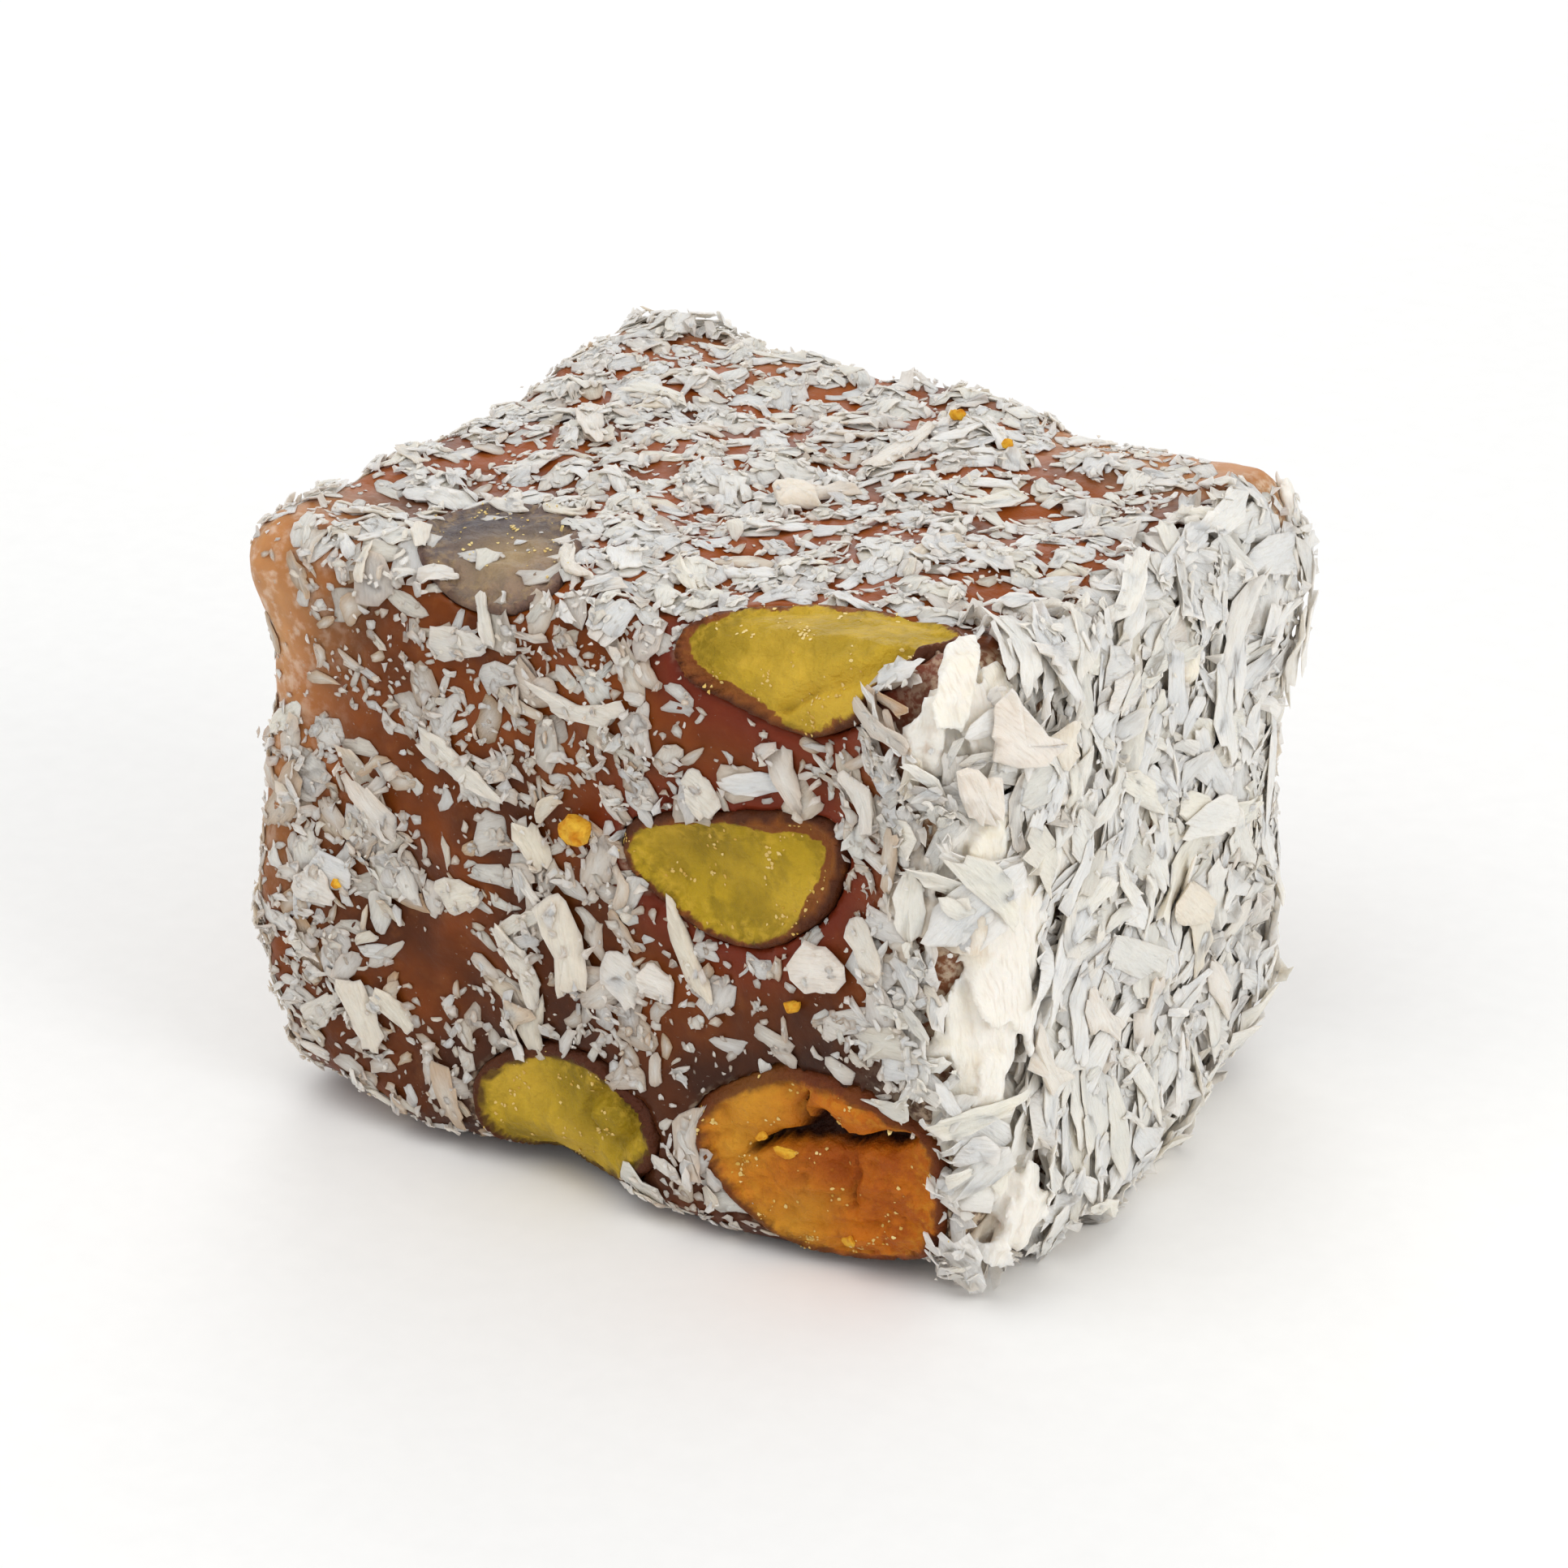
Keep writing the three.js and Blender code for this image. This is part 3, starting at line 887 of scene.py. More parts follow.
# %% Where the coat is bare
BARE_SPOTS = [
    {"at": (-19.6, -15.0, 28.0), "radius": 2.6, "much": 0.8},
    {"at": (-19.9, -15.0, 24.0), "radius": 2.6, "much": 0.8},
    {"at": (-19.9, -15.4, 19.5), "radius": 2.2, "much": 0.75},
    {"at": (-19.9, -15.4, 15.0), "radius": 1.8, "much": 0.7},
    {"at": (-15.5, -15.8, 21.5), "radius": 1.7, "much": 0.9},
    {"at": (-12.3, -15.8, 21.0), "radius": 1.5, "much": 0.85},
    {"at": (-8.6, -15.8, 17.2), "radius": 1.9, "much": 0.9},
    {"at": (-10.0, -15.8, 10.0), "radius": 2.5, "much": 1.0},
    {"at": (-8.4, -15.8, 12.2), "radius": 1.2, "much": 0.9},
    {"at": (-1.5, -15.8, 15.5), "radius": 1.3, "much": 0.7},
    {"at": (-10.8, -15.8, 3.6), "radius": 1.5, "much": 0.7},
    {"at": (6.2, -15.8, 25.2), "radius": 2.0, "much": 0.8},
    {"at": (9.6, -15.8, 23.2), "radius": 1.2, "much": 0.6},
    {"at": (12.0, -15.8, 19.0), "radius": 1.4, "much": 0.6},
    {"at": (16.4, -15.8, 25.4), "radius": 0.9, "much": 0.5},
    {"at": (7.5, -15.8, 10.9), "radius": 1.8, "much": 0.8},
    {"at": (4.6, -15.8, 7.4), "radius": 1.3, "much": 0.8},
    {"at": (14.2, -15.8, 10.8), "radius": 1.5, "much": 0.8},
    {"at": (-16.5, -15.8, 25.5), "radius": 1.8, "much": 0.5},
    {"at": (12.5, 3.0, 30.4), "radius": 2.6, "much": 0.55},
    {"at": (11.0, 8.5, 30.2), "radius": 2.2, "much": 0.6},
    {"at": (17.0, 14.4, 29.8), "radius": 3.0, "much": 0.95},
    {"at": (12.5, 15.6, 30.2), "radius": 2.4, "much": 0.95},
    {"at": (7.6, 15.6, 30.6), "radius": 2.2, "much": 0.9},
    {"at": (-4.0, 15.4, 31.0), "radius": 2.2, "much": 0.45},
    {"at": (-15.5, -9.0, 30.0), "radius": 1.8, "much": 0.5},
    {"at": (-9.8, -14.0, 30.4), "radius": 2.2, "much": 0.6},
    {"at": (-12.0, 15.6, 16.0), "radius": 3.0, "much": 0.6},
    {"at": (-1.0, 15.6, 7.0), "radius": 2.4, "much": 0.7},
    {"at": (3.0, 15.6, 24.0), "radius": 2.2, "much": 0.7},
    {"at": (16.0, 15.4, 15.0), "radius": 2.6, "much": 0.6},
    {"at": (-19.4, 11.0, 20.0), "radius": 2.8, "much": 0.7},
    {"at": (-19.4, -6.0, 9.0), "radius": 2.4, "much": 0.7},
    {"at": (-19.4, -8.0, 24.0), "radius": 2.2, "much": 0.5},
]
print(len(BARE_SPOTS), "places where the coat is thin")

# %% Coat strength
COAT_EVERYWHERE = 0.27
COAT_PRESSED = 0.88
COAT_ON_TOP = 0.29
COAT_LOST_BELOW = 0.25
facing_right = smooth_share(ground_normals[:, 0], 0.35, 0.8)
facing_up = smooth_share(ground_normals[:, 2], 0.45, 0.8)
facing_down = smooth_share(-ground_normals[:, 2], 0.45, 0.8)
upright_edge = along_upright_edge(ground_points, 3.0)
pressed = np.maximum(facing_right, 1.2 * upright_edge)
strength = COAT_EVERYWHERE + COAT_PRESSED * pressed
strength += COAT_ON_TOP * facing_up
strength -= COAT_LOST_BELOW * facing_down
strength *= 1 - np.clip(1.15 * spots(ground_points, BARE_SPOTS), 0, 0.985)
patchy = waves(ground_points, 71, 6.0, 3)
strength *= np.clip(1 + 0.42 * patchy * (1 - 0.7 * np.maximum(facing_right, facing_up)), 0.05, 1.6)
strength *= smooth_share(ground_gap, 0.1, 0.9)

# %% [markdown]
# A cut nut is dry, so no coconut clings to it. Only the veiled kernel, with jelly over it, holds a few
# flakes.

# %% Coat on the kernels
VEILED_KERNEL_AT = np.array((-7.4, -12.0, 30.4))
VEILED_KERNEL_REACH_MM = 7
COAT_ON_VEILED = 0.010
on_veiled = on_kernel & (np.linalg.norm(ground_points - VEILED_KERNEL_AT, axis=1) < VEILED_KERNEL_REACH_MM)
strength = np.where(on_kernel, COAT_ON_VEILED * on_veiled, strength)
print("mean coat strength", round(float(strength[~on_kernel].mean()), 2))

# %% [markdown]
# ## Shapes of coconut
#
# Coconut is shredded and dried, so it comes as long fibrous shreds, torn flat chips, short slivers and
# fine grit. Each is a thin flat plate with a blunt, ragged outline and a narrow bevelled rim, and every
# flake gets an outline of its own. Instances of a few flakes would be lighter, but the eye soon finds the
# repeats. The joined mesh of one kind is one piece, as the library asks.


# %% Flake outlines
TEARS = ((2, 0.1), (3, 0.12), (4, 0.07), (5, 0.06))


def torn_outline(draw, count, length, width, raggedness):
    """An outline in the flake's own plane: a blunt oblong with random tears, one end narrower."""
    turn = np.linspace(0, 2 * math.pi, count, endpoint=False) + draw.uniform(-0.2, 0.2, count)
    blunt = draw.uniform(0.62, 1.0)
    x = np.sign(np.cos(turn)) * np.abs(np.cos(turn)) ** blunt
    y = np.sign(np.sin(turn)) * np.abs(np.sin(turn)) ** blunt
    radius = 0.96 + draw.uniform(-raggedness, raggedness, count)
    for lobes, much in TEARS:
        radius += much * draw.uniform(0.2, 1.0) * np.cos(lobes * turn + draw.uniform(0, 2 * math.pi))
    narrow = 1 - draw.uniform(0, 0.38) * x
    curve = draw.normal() * 0.11 * length * x * x
    skew = draw.uniform(-0.4, 0.4) * x * width / 2
    return np.stack([x * radius * length / 2, y * radius * narrow * width / 2 + curve + skew], 1)


# %% The points and faces of a flake
def flake_body(draw, kind, length, width, thick, raggedness, bend):
    """Points of one flake on z = 0: its top middle, its rings from the top down, its underside."""
    count = kind["corners"]
    outline = torn_outline(draw, count, length, width, raggedness)
    points = [np.array([[0, 0, thick * draw.uniform(0.9, 1.25)]])]
    for scale, height in kind["rings"]:
        rough = 1 + draw.uniform(-0.14, 0.14, count)
        points.append(np.column_stack([outline * scale, height * thick * rough]))
    points.append(np.array([[0, 0, 0.0]]))
    p = np.concatenate(points)
    p[:, 2] += bend * ((2 * p[:, 0] / length) ** 2 - 0.3)
    return p


def flake_faces(count, ring_total):
    """Triangles of one flake: a fan on top, a band between each two rings, and a fan below."""
    faces = []
    last = 1 + ring_total * count
    for i in range(count):
        j = (i + 1) % count
        faces.append((0, 1 + i, 1 + j))
        for ring in range(ring_total - 1):
            a = 1 + ring * count
            b = a + count
            faces.append((a + i, b + i, b + j))
            faces.append((a + i, b + j, a + j))
        a = 1 + (ring_total - 1) * count
        faces.append((a + i, last, a + j))
    return np.array(faces)


# %% The ground below a flake
SAME_WAY = 0.45
MOST_SLOPE = 0.5
FEWEST_BELOW = 5


def ground_below(flake, centre, normal, along, side):
    """The ground points that a flake covers: their numbers, and how far along, across and out they lie."""
    half_length = np.abs(flake[:, 0]).max()
    half_width = np.abs(flake[:, 1]).max()
    near = ground_tree.find_range(centre, half_length + 0.05)
    index = np.array([entry[1] for entry in near])
    offset = ground_points[index] - centre
    u = offset @ along
    v = offset @ side
    height = offset @ normal
    below = (u / half_length) ** 2 + (v / half_width) ** 2 < 1.0
    below &= ground_normals[index] @ normal > SAME_WAY
    return index[below], u[below], v[below], height[below]


def resting_plane(press, place, covered, u, v, height):
    """The two slopes and the base of the plane on which a flake lies."""
    if len(covered) <= FEWEST_BELOW:
        return 0.0, 0.0, coat[place]
    raised = height + coat[covered]
    design = np.column_stack([u, v, np.ones(len(u))])
    slope_u, slope_v, _ = np.linalg.lstsq(design, raised, rcond=None)[0]
    slope_u = np.clip(slope_u, -MOST_SLOPE, MOST_SLOPE)
    slope_v = np.clip(slope_v, -MOST_SLOPE, MOST_SLOPE)
    base = np.percentile(raised - slope_u * u - slope_v * v, press)
    return slope_u, slope_v, base


# %% How a flake comes to rest
PRESSED_IN_MM = 0.05
PUSHED_UP = 0.7
MOST_LIFT_MM = 0.5
MOST_SAG_MM = 1.6


def sag_rim(kind, placed, flat, foot, normal, stiff):
    """Lets a flake hang on to what lies below its rim: fully at the edge, less towards the middle."""
    count = kind["corners"]
    last_ring = 1 + (len(kind["rings"]) - 1) * count
    rim = slice(last_ring, last_ring + count)
    feet = flat[rim] + foot[rim, None] * normal
    found = np.array([ground_tree.find(q)[1] for q in feet])
    above = np.einsum("ij,ij->i", feet - ground_points[found], ground_normals[found]) - coat[found]
    much = np.where(above > 0, 1 - stiff, PUSHED_UP)
    sag = -np.clip(above * much, -MOST_LIFT_MM, MOST_SAG_MM)[:, None] * ground_normals[found]
    for ring, (scale, _) in enumerate(kind["rings"]):
        start = 1 + ring * count
        placed[start : start + count] += sag * min(1.0, scale) ** 2


def rest_flake(kind, place, flake, hint, lean, stiff):
    """Lays one flake on the coat, lets its rim sag and raises the coat by it. Gives its points in place."""
    centre = ground_points[place]
    normal = ground_normals[place]
    side = np.cross(normal, hint)
    side /= np.linalg.norm(side)
    along = np.cross(side, normal)
    covered, u, v, height = ground_below(flake, centre, normal, along, side)
    slope_u, slope_v, base = resting_plane(kind["press"], place, covered, u, v, height)
    slope_u += lean[0]
    slope_v += lean[1]
    base -= PRESSED_IN_MM
    foot = base + slope_u * flake[:, 0] + slope_v * flake[:, 1]
    flat = centre + flake[:, :1] * along + flake[:, 1:2] * side
    placed = flat + (foot + flake[:, 2])[:, None] * normal
    sag_rim(kind, placed, flat, foot, normal, stiff)
    body = np.ptp(flake[:, 2])
    top = base + slope_u * u + slope_v * v + 0.8 * body
    coat[covered] = np.maximum(coat[covered], top - height)
    coat[place] = max(coat[place], base + 0.5 * body)
    placed[:, 2] = np.maximum(placed[:, 2], ABOVE_PLATE_MM)
    return placed


print("a flake lies on the ground or on the coat, pressed in by", PRESSED_IN_MM, "mm")

# %% [markdown]
# ## The kinds of flake
#
# Each kind says how its flakes look and where they like to lie. `corners` are the points round the
# outline. Each of the `rings`, from the top down, is a share of the outline and a share of the thickness.
# `length` and `thick` go from least to most in millimetres, and `ratio` is length over width. `ragged`
# tells how torn the outline is, `bend` how curled the flake is and `lean` how much it tilts. A low
# `press` pushes it further down, and a small `spread` keeps flakes off each other. `up` and `right` are
# how readily it lies on the top and the right face beside the front, and `hang` turns its length upright.

# %% Kinds
CLUMPS = {
    "name": "coconut_clumps", "number": 150, "corners": 12,
    "rings": [(0.6, 1.0), (0.9, 0.8), (1.0, 0.4), (0.8, 0.0)],
    "length": (1.8, 4.6), "ratio": (1.5, 2.9), "thick": (0.24, 0.46), "ragged": 0.17, "bend": 0.06,
    "lean": 0.03, "press": 50, "spread": 0.5, "seed": 99, "up": 1.0, "right": 1.0, "hang": 3.0,
}
CHIPS = {
    "name": "coconut_chips", "number": 2300, "corners": 13,
    "rings": [(0.66, 1.0), (0.93, 0.82), (1.0, 0.4)],
    "length": (1.0, 2.7), "ratio": (1.2, 2.5), "thick": (0.08, 0.19), "ragged": 0.13, "bend": 0.1,
    "lean": 0.06, "press": 55, "spread": 0.65, "seed": 101, "up": 1.0, "right": 0.95, "hang": 0.0,
}
SHREDS = {
    "name": "coconut_shreds", "number": 660, "corners": 18,
    "rings": [(0.6, 1.0), (0.92, 0.85), (1.0, 0.45), (0.85, 0.0)],
    "length": (2.1, 4.2), "ratio": (2.2, 4.0), "thick": (0.1, 0.22), "ragged": 0.15, "bend": 0.14,
    "lean": 0.05, "press": 60, "spread": 0.8, "seed": 202, "up": 0.7, "right": 1.4, "hang": 0.0,
}
SLIVERS = {
    "name": "coconut_slivers", "number": 2500, "corners": 10,
    "rings": [(0.84, 1.0), (1.0, 0.4)],
    "length": (0.6, 2.0), "ratio": (1.9, 4.6), "thick": (0.07, 0.15), "ragged": 0.15, "bend": 0.1,
    "lean": 0.08, "press": 50, "spread": 0.75, "seed": 303, "up": 0.45, "right": 0.5, "hang": 0.0,
}
GRIT = {
    "name": "coconut_grit", "number": 6500, "corners": 7,
    "rings": [(1.0, 0.5)],
    "length": (0.22, 0.8), "ratio": (1.1, 2.4), "thick": (0.08, 0.16), "ragged": 0.14, "bend": 0.0,
    "lean": 0.1, "press": 50, "spread": 0.55, "seed": 404, "up": 0.4, "right": 0.3, "hang": 0.0,
}
KINDS = [CLUMPS, CHIPS, SHREDS, SLIVERS, GRIT]
print(sum(kind["number"] for kind in KINDS), "flakes of", len(KINDS), "kinds")

# %% [markdown]
# The largest flakes are listed one by one, because they are what one knows this cube by. Each one runs
# from one point to another, and the rows go from the front face to the top and then to the right face.

# %% Flakes laid from a list
LARGE_FLAKES = [
    {"from": (10.2, -15.9, 15.2), "to": (13.2, -15.9, 15.9), "width": 2.5, "thick": 0.64},
    {"from": (2.9, -15.9, 16.3), "to": (6.0, -15.9, 12.0), "width": 1.3, "thick": 0.35},
    {"from": (-2.0, -15.9, 15.6), "to": (-1.2, -15.9, 10.6), "width": 2.0, "thick": 0.32},
    {"from": (-5.3, -15.9, 13.6), "to": (-3.4, -15.9, 9.4), "width": 1.4, "thick": 0.28},
    {"from": (-0.1, -15.9, 12.8), "to": (2.4, -15.9, 11.6), "width": 1.9, "thick": 0.24},
    {"from": (2.3, -15.9, 12.6), "to": (4.3, -15.9, 12.1), "width": 1.6, "thick": 0.35},
    {"from": (-10.1, -15.9, 22.0), "to": (-5.0, -15.9, 19.6), "width": 1.3, "thick": 0.24},
    {"from": (-3.8, -15.9, 19.0), "to": (-2.6, -15.9, 16.6), "width": 1.4, "thick": 0.28},
    {"from": (-16.8, -15.9, 13.3), "to": (-14.4, -15.9, 12.6), "width": 1.8, "thick": 0.28},
    {"from": (-14.1, -15.9, 8.2), "to": (-12.9, -15.9, 4.0), "width": 1.5, "thick": 0.32},
    {"from": (-12.6, -15.9, 8.2), "to": (-11.1, -15.9, 5.8), "width": 1.3, "thick": 0.28},
    {"from": (-17.3, -15.9, 5.0), "to": (-15.0, -15.9, 7.2), "width": 1.2, "thick": 0.24},
    {"from": (-9.4, -15.9, 26.5), "to": (-6.4, -15.9, 26.5), "width": 1.8, "thick": 0.21},
    {"from": (-3.4, -15.9, 24.8), "to": (2.2, -15.9, 25.2), "width": 1.1, "thick": 0.24},
    {"from": (4.6, -15.9, 23.3), "to": (6.8, -15.9, 22.0), "width": 1.5, "thick": 0.24},
    {"from": (13.2, -15.9, 25.7), "to": (14.3, -15.9, 23.0), "width": 1.1, "thick": 0.28},
    {"from": (-9.0, -15.9, 13.8), "to": (-6.7, -15.9, 15.0), "width": 1.8, "thick": 0.24},
    {"from": (13.0, -15.9, 18.4), "to": (15.0, -15.9, 16.2), "width": 1.4, "thick": 0.28},
    {"from": (0.6, -1.6, 31.0), "to": (2.3, -0.4, 31.0), "width": 1.6, "thick": 0.64},
    {"from": (-12.6, 2.6, 31.0), "to": (-9.9, -0.7, 31.0), "width": 1.4, "thick": 0.28},
    {"from": (3.1, 3.2, 31.0), "to": (3.3, 8.6, 31.0), "width": 1.1, "thick": 0.28},
    {"from": (-4.5, -11.8, 31.0), "to": (-1.8, -14.2, 31.0), "width": 0.9, "thick": 0.35},
    {"from": (-10.8, -8.2, 31.0), "to": (-8.6, -8.8, 31.0), "width": 1.0, "thick": 0.2},
    {"from": (-3.9, -9.2, 31.0), "to": (-4.9, -10.9, 31.0), "width": 0.8, "thick": 0.2},
    {"from": (-9.6, -15.4, 30.6), "to": (-7.8, -14.6, 30.8), "width": 0.9, "thick": 0.2},
    {"from": (-11.4, -12.4, 30.8), "to": (-10.4, -14.0, 30.8), "width": 0.9, "thick": 0.2},
    {"from": (-7.6, -7.6, 31.0), "to": (-5.6, -8.3, 31.0), "width": 1.1, "thick": 0.2},
    {"from": (19.4, -15.0, 29.6), "to": (19.4, -11.6, 25.9), "width": 2.0, "thick": 0.64},
    {"from": (19.4, -10.5, 27.4), "to": (19.4, -8.7, 24.0), "width": 1.4, "thick": 0.42},
    {"from": (19.0, -15.8, 27.4), "to": (19.4, -14.2, 24.2), "width": 1.7, "thick": 0.56},
    {"from": (19.4, 1.2, 14.7), "to": (19.4, 4.9, 11.6), "width": 2.1, "thick": 0.35},
    {"from": (19.4, -12.4, 12.5), "to": (19.4, -9.7, 8.7), "width": 1.7, "thick": 0.35},
    {"from": (19.4, -6.8, 12.9), "to": (19.4, -4.8, 9.4), "width": 1.5, "thick": 0.32},
    {"from": (19.4, 5.7, 9.1), "to": (19.4, 8.2, 5.1), "width": 1.6, "thick": 0.35},
]
print(len(LARGE_FLAKES), "flakes are laid by hand")

# %% [markdown]
# ## One mesh for each kind
#
# A heap gathers the flakes of one kind and joins them. With each flake it keeps a tone, a warmth and the
# flake's own coordinates, so that the fibres of every flake run along it wherever it lies. Shading is
# smooth over the plate and sharp at its rim, which is what makes dry coconut look crisp.


# %% A heap of flakes
CRISP_RIM = math.radians(46)
APART_IN_NOISE = 900


class Heap:
    """Flakes of one kind as they are laid, and then the one mesh that joins them."""

    def __init__(self, kind):
        self.kind = kind
        self.lumps = []
        self.tones = []
        self.warmths = []
        self.own = []

    def add(self, draw, placed, flake, tone):
        self.lumps.append(placed)
        self.tones.append(tone)
        self.warmths.append(draw.uniform(0, 1) ** 2.2)
        self.own.append(flake + np.array([0, 0, draw.uniform(0, APART_IN_NOISE)]))

    def bare_mesh(self):
        """The flakes' points and triangles in one mesh."""
        points = np.concatenate(self.lumps)
        faces = flake_faces(self.kind["corners"], len(self.kind["rings"]))
        shifts = (np.arange(len(self.lumps)) * len(self.lumps[0]))[:, None, None]
        faces = (faces[None] + shifts).reshape(-1, 3)
        mesh = bpy.data.meshes.new(self.kind["name"])
        mesh.vertices.add(len(points))
        mesh.vertices.foreach_set("co", (points * MM).astype(np.float32).ravel())
        mesh.loops.add(faces.size)
        mesh.loops.foreach_set("vertex_index", faces.astype(np.int32).ravel())
        mesh.polygons.add(len(faces))
        mesh.polygons.foreach_set("loop_start", np.arange(0, faces.size, 3, dtype=np.int32))
        mesh.update(calc_edges=True)
        mesh.validate()
        return mesh

    def joined(self):
        """The heap as one object, with the numbers that its material reads."""
        mesh = self.bare_mesh()
        size = len(self.lumps[0])
        thin = [np.full(self.kind["corners"], scale) for scale, _ in self.kind["rings"]]
        thin = np.concatenate([[0.0], *thin, [0.6]])
        give(mesh, "thin", np.tile(thin, len(self.lumps)))
        give(mesh, "tone", np.repeat(self.tones, size))
        give(mesh, "warmth", np.repeat(self.warmths, size))
        give_places(mesh, "fibre", np.concatenate(self.own))
        mesh.shade_smooth()
        mesh.set_sharp_from_angle(angle=CRISP_RIM)
        piece = bpy.data.objects.new(self.kind["name"], mesh)
        bpy.context.scene.collection.objects.link(piece)
        return piece


# %% [markdown]
# ## Strewing
#
# Places are drawn by chance, weighted by how much coat is wanted there and by how little there is yet.
# They are drawn in batches, and between batches the weights follow the growing coat. On the top face
# flakes are a little shorter, on the right face a good deal longer. Those that lie on others are whiter,
# since less jelly shines through, and those on the top, on the right face and along the upright edge are
# whiter too.

# %% Strewing one kind
BATCH = 200
MOST_COAT_MM = 1.2
SHORT_ONES_MORE_OFTEN = 1.4
MOST_STIFFNESS = 0.3


def pick_places(draw, number, weights):
    """Numbers of ground points, drawn by chance in proportion to their weights."""
    share = np.cumsum(weights)
    return np.searchsorted(share / share[-1], draw.uniform(0, 1, number))


def drop_flake(heap, place, draw):
    """Makes one flake by chance and lays it at a ground point."""
    kind = heap.kind
    up = facing_up[place]
    right = facing_right[place]
    length = draw.uniform(0, 1) ** SHORT_ONES_MORE_OFTEN * np.ptp(kind["length"]) + kind["length"][0]
    length *= 1 - 0.08 * up + 0.45 * right
    width = length / draw.uniform(*kind["ratio"])
    thick = draw.uniform(*kind["thick"])
    bend = draw.normal() * kind["bend"]
    flake = flake_body(draw, kind, length, width, thick, kind["ragged"], bend)
    lean = draw.normal(size=2) * kind["lean"]
    coat_below = coat[place]
    hint = draw.normal(size=3) + np.array([0, 0, kind["hang"]])
    placed = rest_flake(kind, place, flake, hint, lean, draw.uniform(0.0, MOST_STIFFNESS))
    tone = draw.normal(0.42, 0.25) + 0.35 * min(1.0, coat_below / 0.35)
    tone += 0.5 * max(right, upright_edge[place]) + 0.46 * up
    heap.add(draw, placed, flake, np.clip(tone, 0, 1))


def strew(heap, number, draw, wanted):
    """Lays flakes where they are wanted and where the coat is still thin."""
    kind = heap.kind
    wanted = wanted * (1 - (1 - kind["up"]) * facing_up) * (1 - (1 - kind["right"]) * facing_right)
    laid = 0
    while laid < number:
        room = wanted / (1 + (coat / kind["spread"]) ** 2) * (coat < MOST_COAT_MM)
        for place in pick_places(draw, min(BATCH, number - laid), room):
            drop_flake(heap, place, draw)
            laid += 1


# %% Laying one listed flake
HAND_RAGGED = 0.13
HAND_BEND_MM = 0.12
HAND_STIFFNESS = 0.35
HAND_TONE = 0.75


def lay_by_hand(heap, large, draw):
    """Lays a flake of a given size from one point to another."""
    start = np.array(large["from"])
    end = np.array(large["to"])
    length = np.linalg.norm(end - start)
    place = ground_tree.find((start + end) / 2)[1]
    flake = flake_body(draw, heap.kind, length, large["width"], large["thick"], HAND_RAGGED, HAND_BEND_MM)
    placed = rest_flake(heap.kind, place, flake, end - start, (0.0, 0.0), HAND_STIFFNESS)
    heap.add(draw, placed, flake, HAND_TONE)


# %% [markdown]
# ## The look of dry coconut
#
# Dry coconut is a warm white, never blue, with fine fibres along it. Light goes right through a thin
# flake, so a strong, nearly white subsurface gives it body. Where a flake is thin and lies on bare jelly,
# the veil lets it take on the jelly's brown.

# %% Coconut material
WHITE_FLESH = colour(240, 235, 227)
CREAM_FLESH = colour(238, 226, 200)
FIBRE_SHADE = colour(194, 177, 158)
JELLY_BEHIND = colour(176, 140, 106)
ALONG_FIBRES = (0.6, 4.5, 1.0)
book = Material("coconut_flesh")
own_place = book.attribute("fibre", "Vector")
stretched = book.node("ShaderNodeVectorMath", {"operation": "MULTIPLY"}, {0: own_place, 1: ALONG_FIBRES})
fibres = book.node("ShaderNodeTexNoise", {}, {"Vector": stretched, "Scale": 1.6, "Detail": 3.0}, "Fac")
crumbly = book.noise(book.place(), 2.4, 3.0)
veil = (1 - book.attribute("tone")) * (0.35 + 0.65 * book.attribute("thin"))
flake_tone = book.blend(book.attribute("warmth") * 0.6, WHITE_FLESH, CREAM_FLESH)
flake_tone = book.blend(fibres.step(0.48, 0.75) * 0.3, flake_tone, FIBRE_SHADE)
flake_tone = book.blend(veil.clamp(), flake_tone, JELLY_BEHIND)
coconut = book.finish(
    {
        "Base Color": flake_tone,
        "Roughness": 0.5 + crumbly * 0.25,
        "Normal": book.bump(fibres + crumbly * 0.9, 0.11, 0.9),
        "Specular IOR Level": 0.2,
        "Subsurface Weight": 0.6,
        "Subsurface Radius": (1.0, 0.86, 0.72),
        "Subsurface Scale": 0.8 * MM,
    }
)

# %% [markdown]
# ## Clumps that melted together
#
# Along the upright edge the cube was pressed hard into damp coconut, and there the flakes are no longer
# apart: they stick together in soft, stringy clumps. So the clumps begin as flakes like all others, and a
# voxel remesh then fuses them into one body. Upright strands bring back the grain, and every new point
# takes its tone from the three old points nearest to it.

# %% Melting a heap
CLUMP_VOXEL_MM = 0.155
STRAND_MM = 0.045
STRAND_LOOK = (1.0, 1.0, 0.35)
GRAIN_MM = 0.025
TONES_FROM = 3


def melt(piece):
    """Fuses overlapping flakes into one body, and gives it the numbers of the flakes that it came from."""
    flakes = piece.data
    tree = point_tree(points_of(flakes))
    put_on_grid(piece, CLUMP_VOXEL_MM, 1)
    body = piece.data
    p = points_of(body)
    strands = STRAND_MM * waves(p / MM * STRAND_LOOK, 74, 1.1, 3)
    strands += GRAIN_MM * waves(p / MM, 75, 0.6, 1)
    p += normals_of(body) * (strands * MM)[:, None]
    p[:, 2] = np.maximum(p[:, 2], ABOVE_PLATE_MM * MM)
    move_points(body, p)
    nearest = np.array([[entry[1] for entry in tree.find_n(q, TONES_FROM)] for q in p])
    for name in ("thin", "tone", "warmth"):
        values = np.zeros(len(flakes.vertices), np.float32)
        flakes.attributes[name].data.foreach_get("value", values)
        give(body, name, values[nearest].mean(axis=1))
    give_places(body, "fibre", p[:, ::-1] / MM)


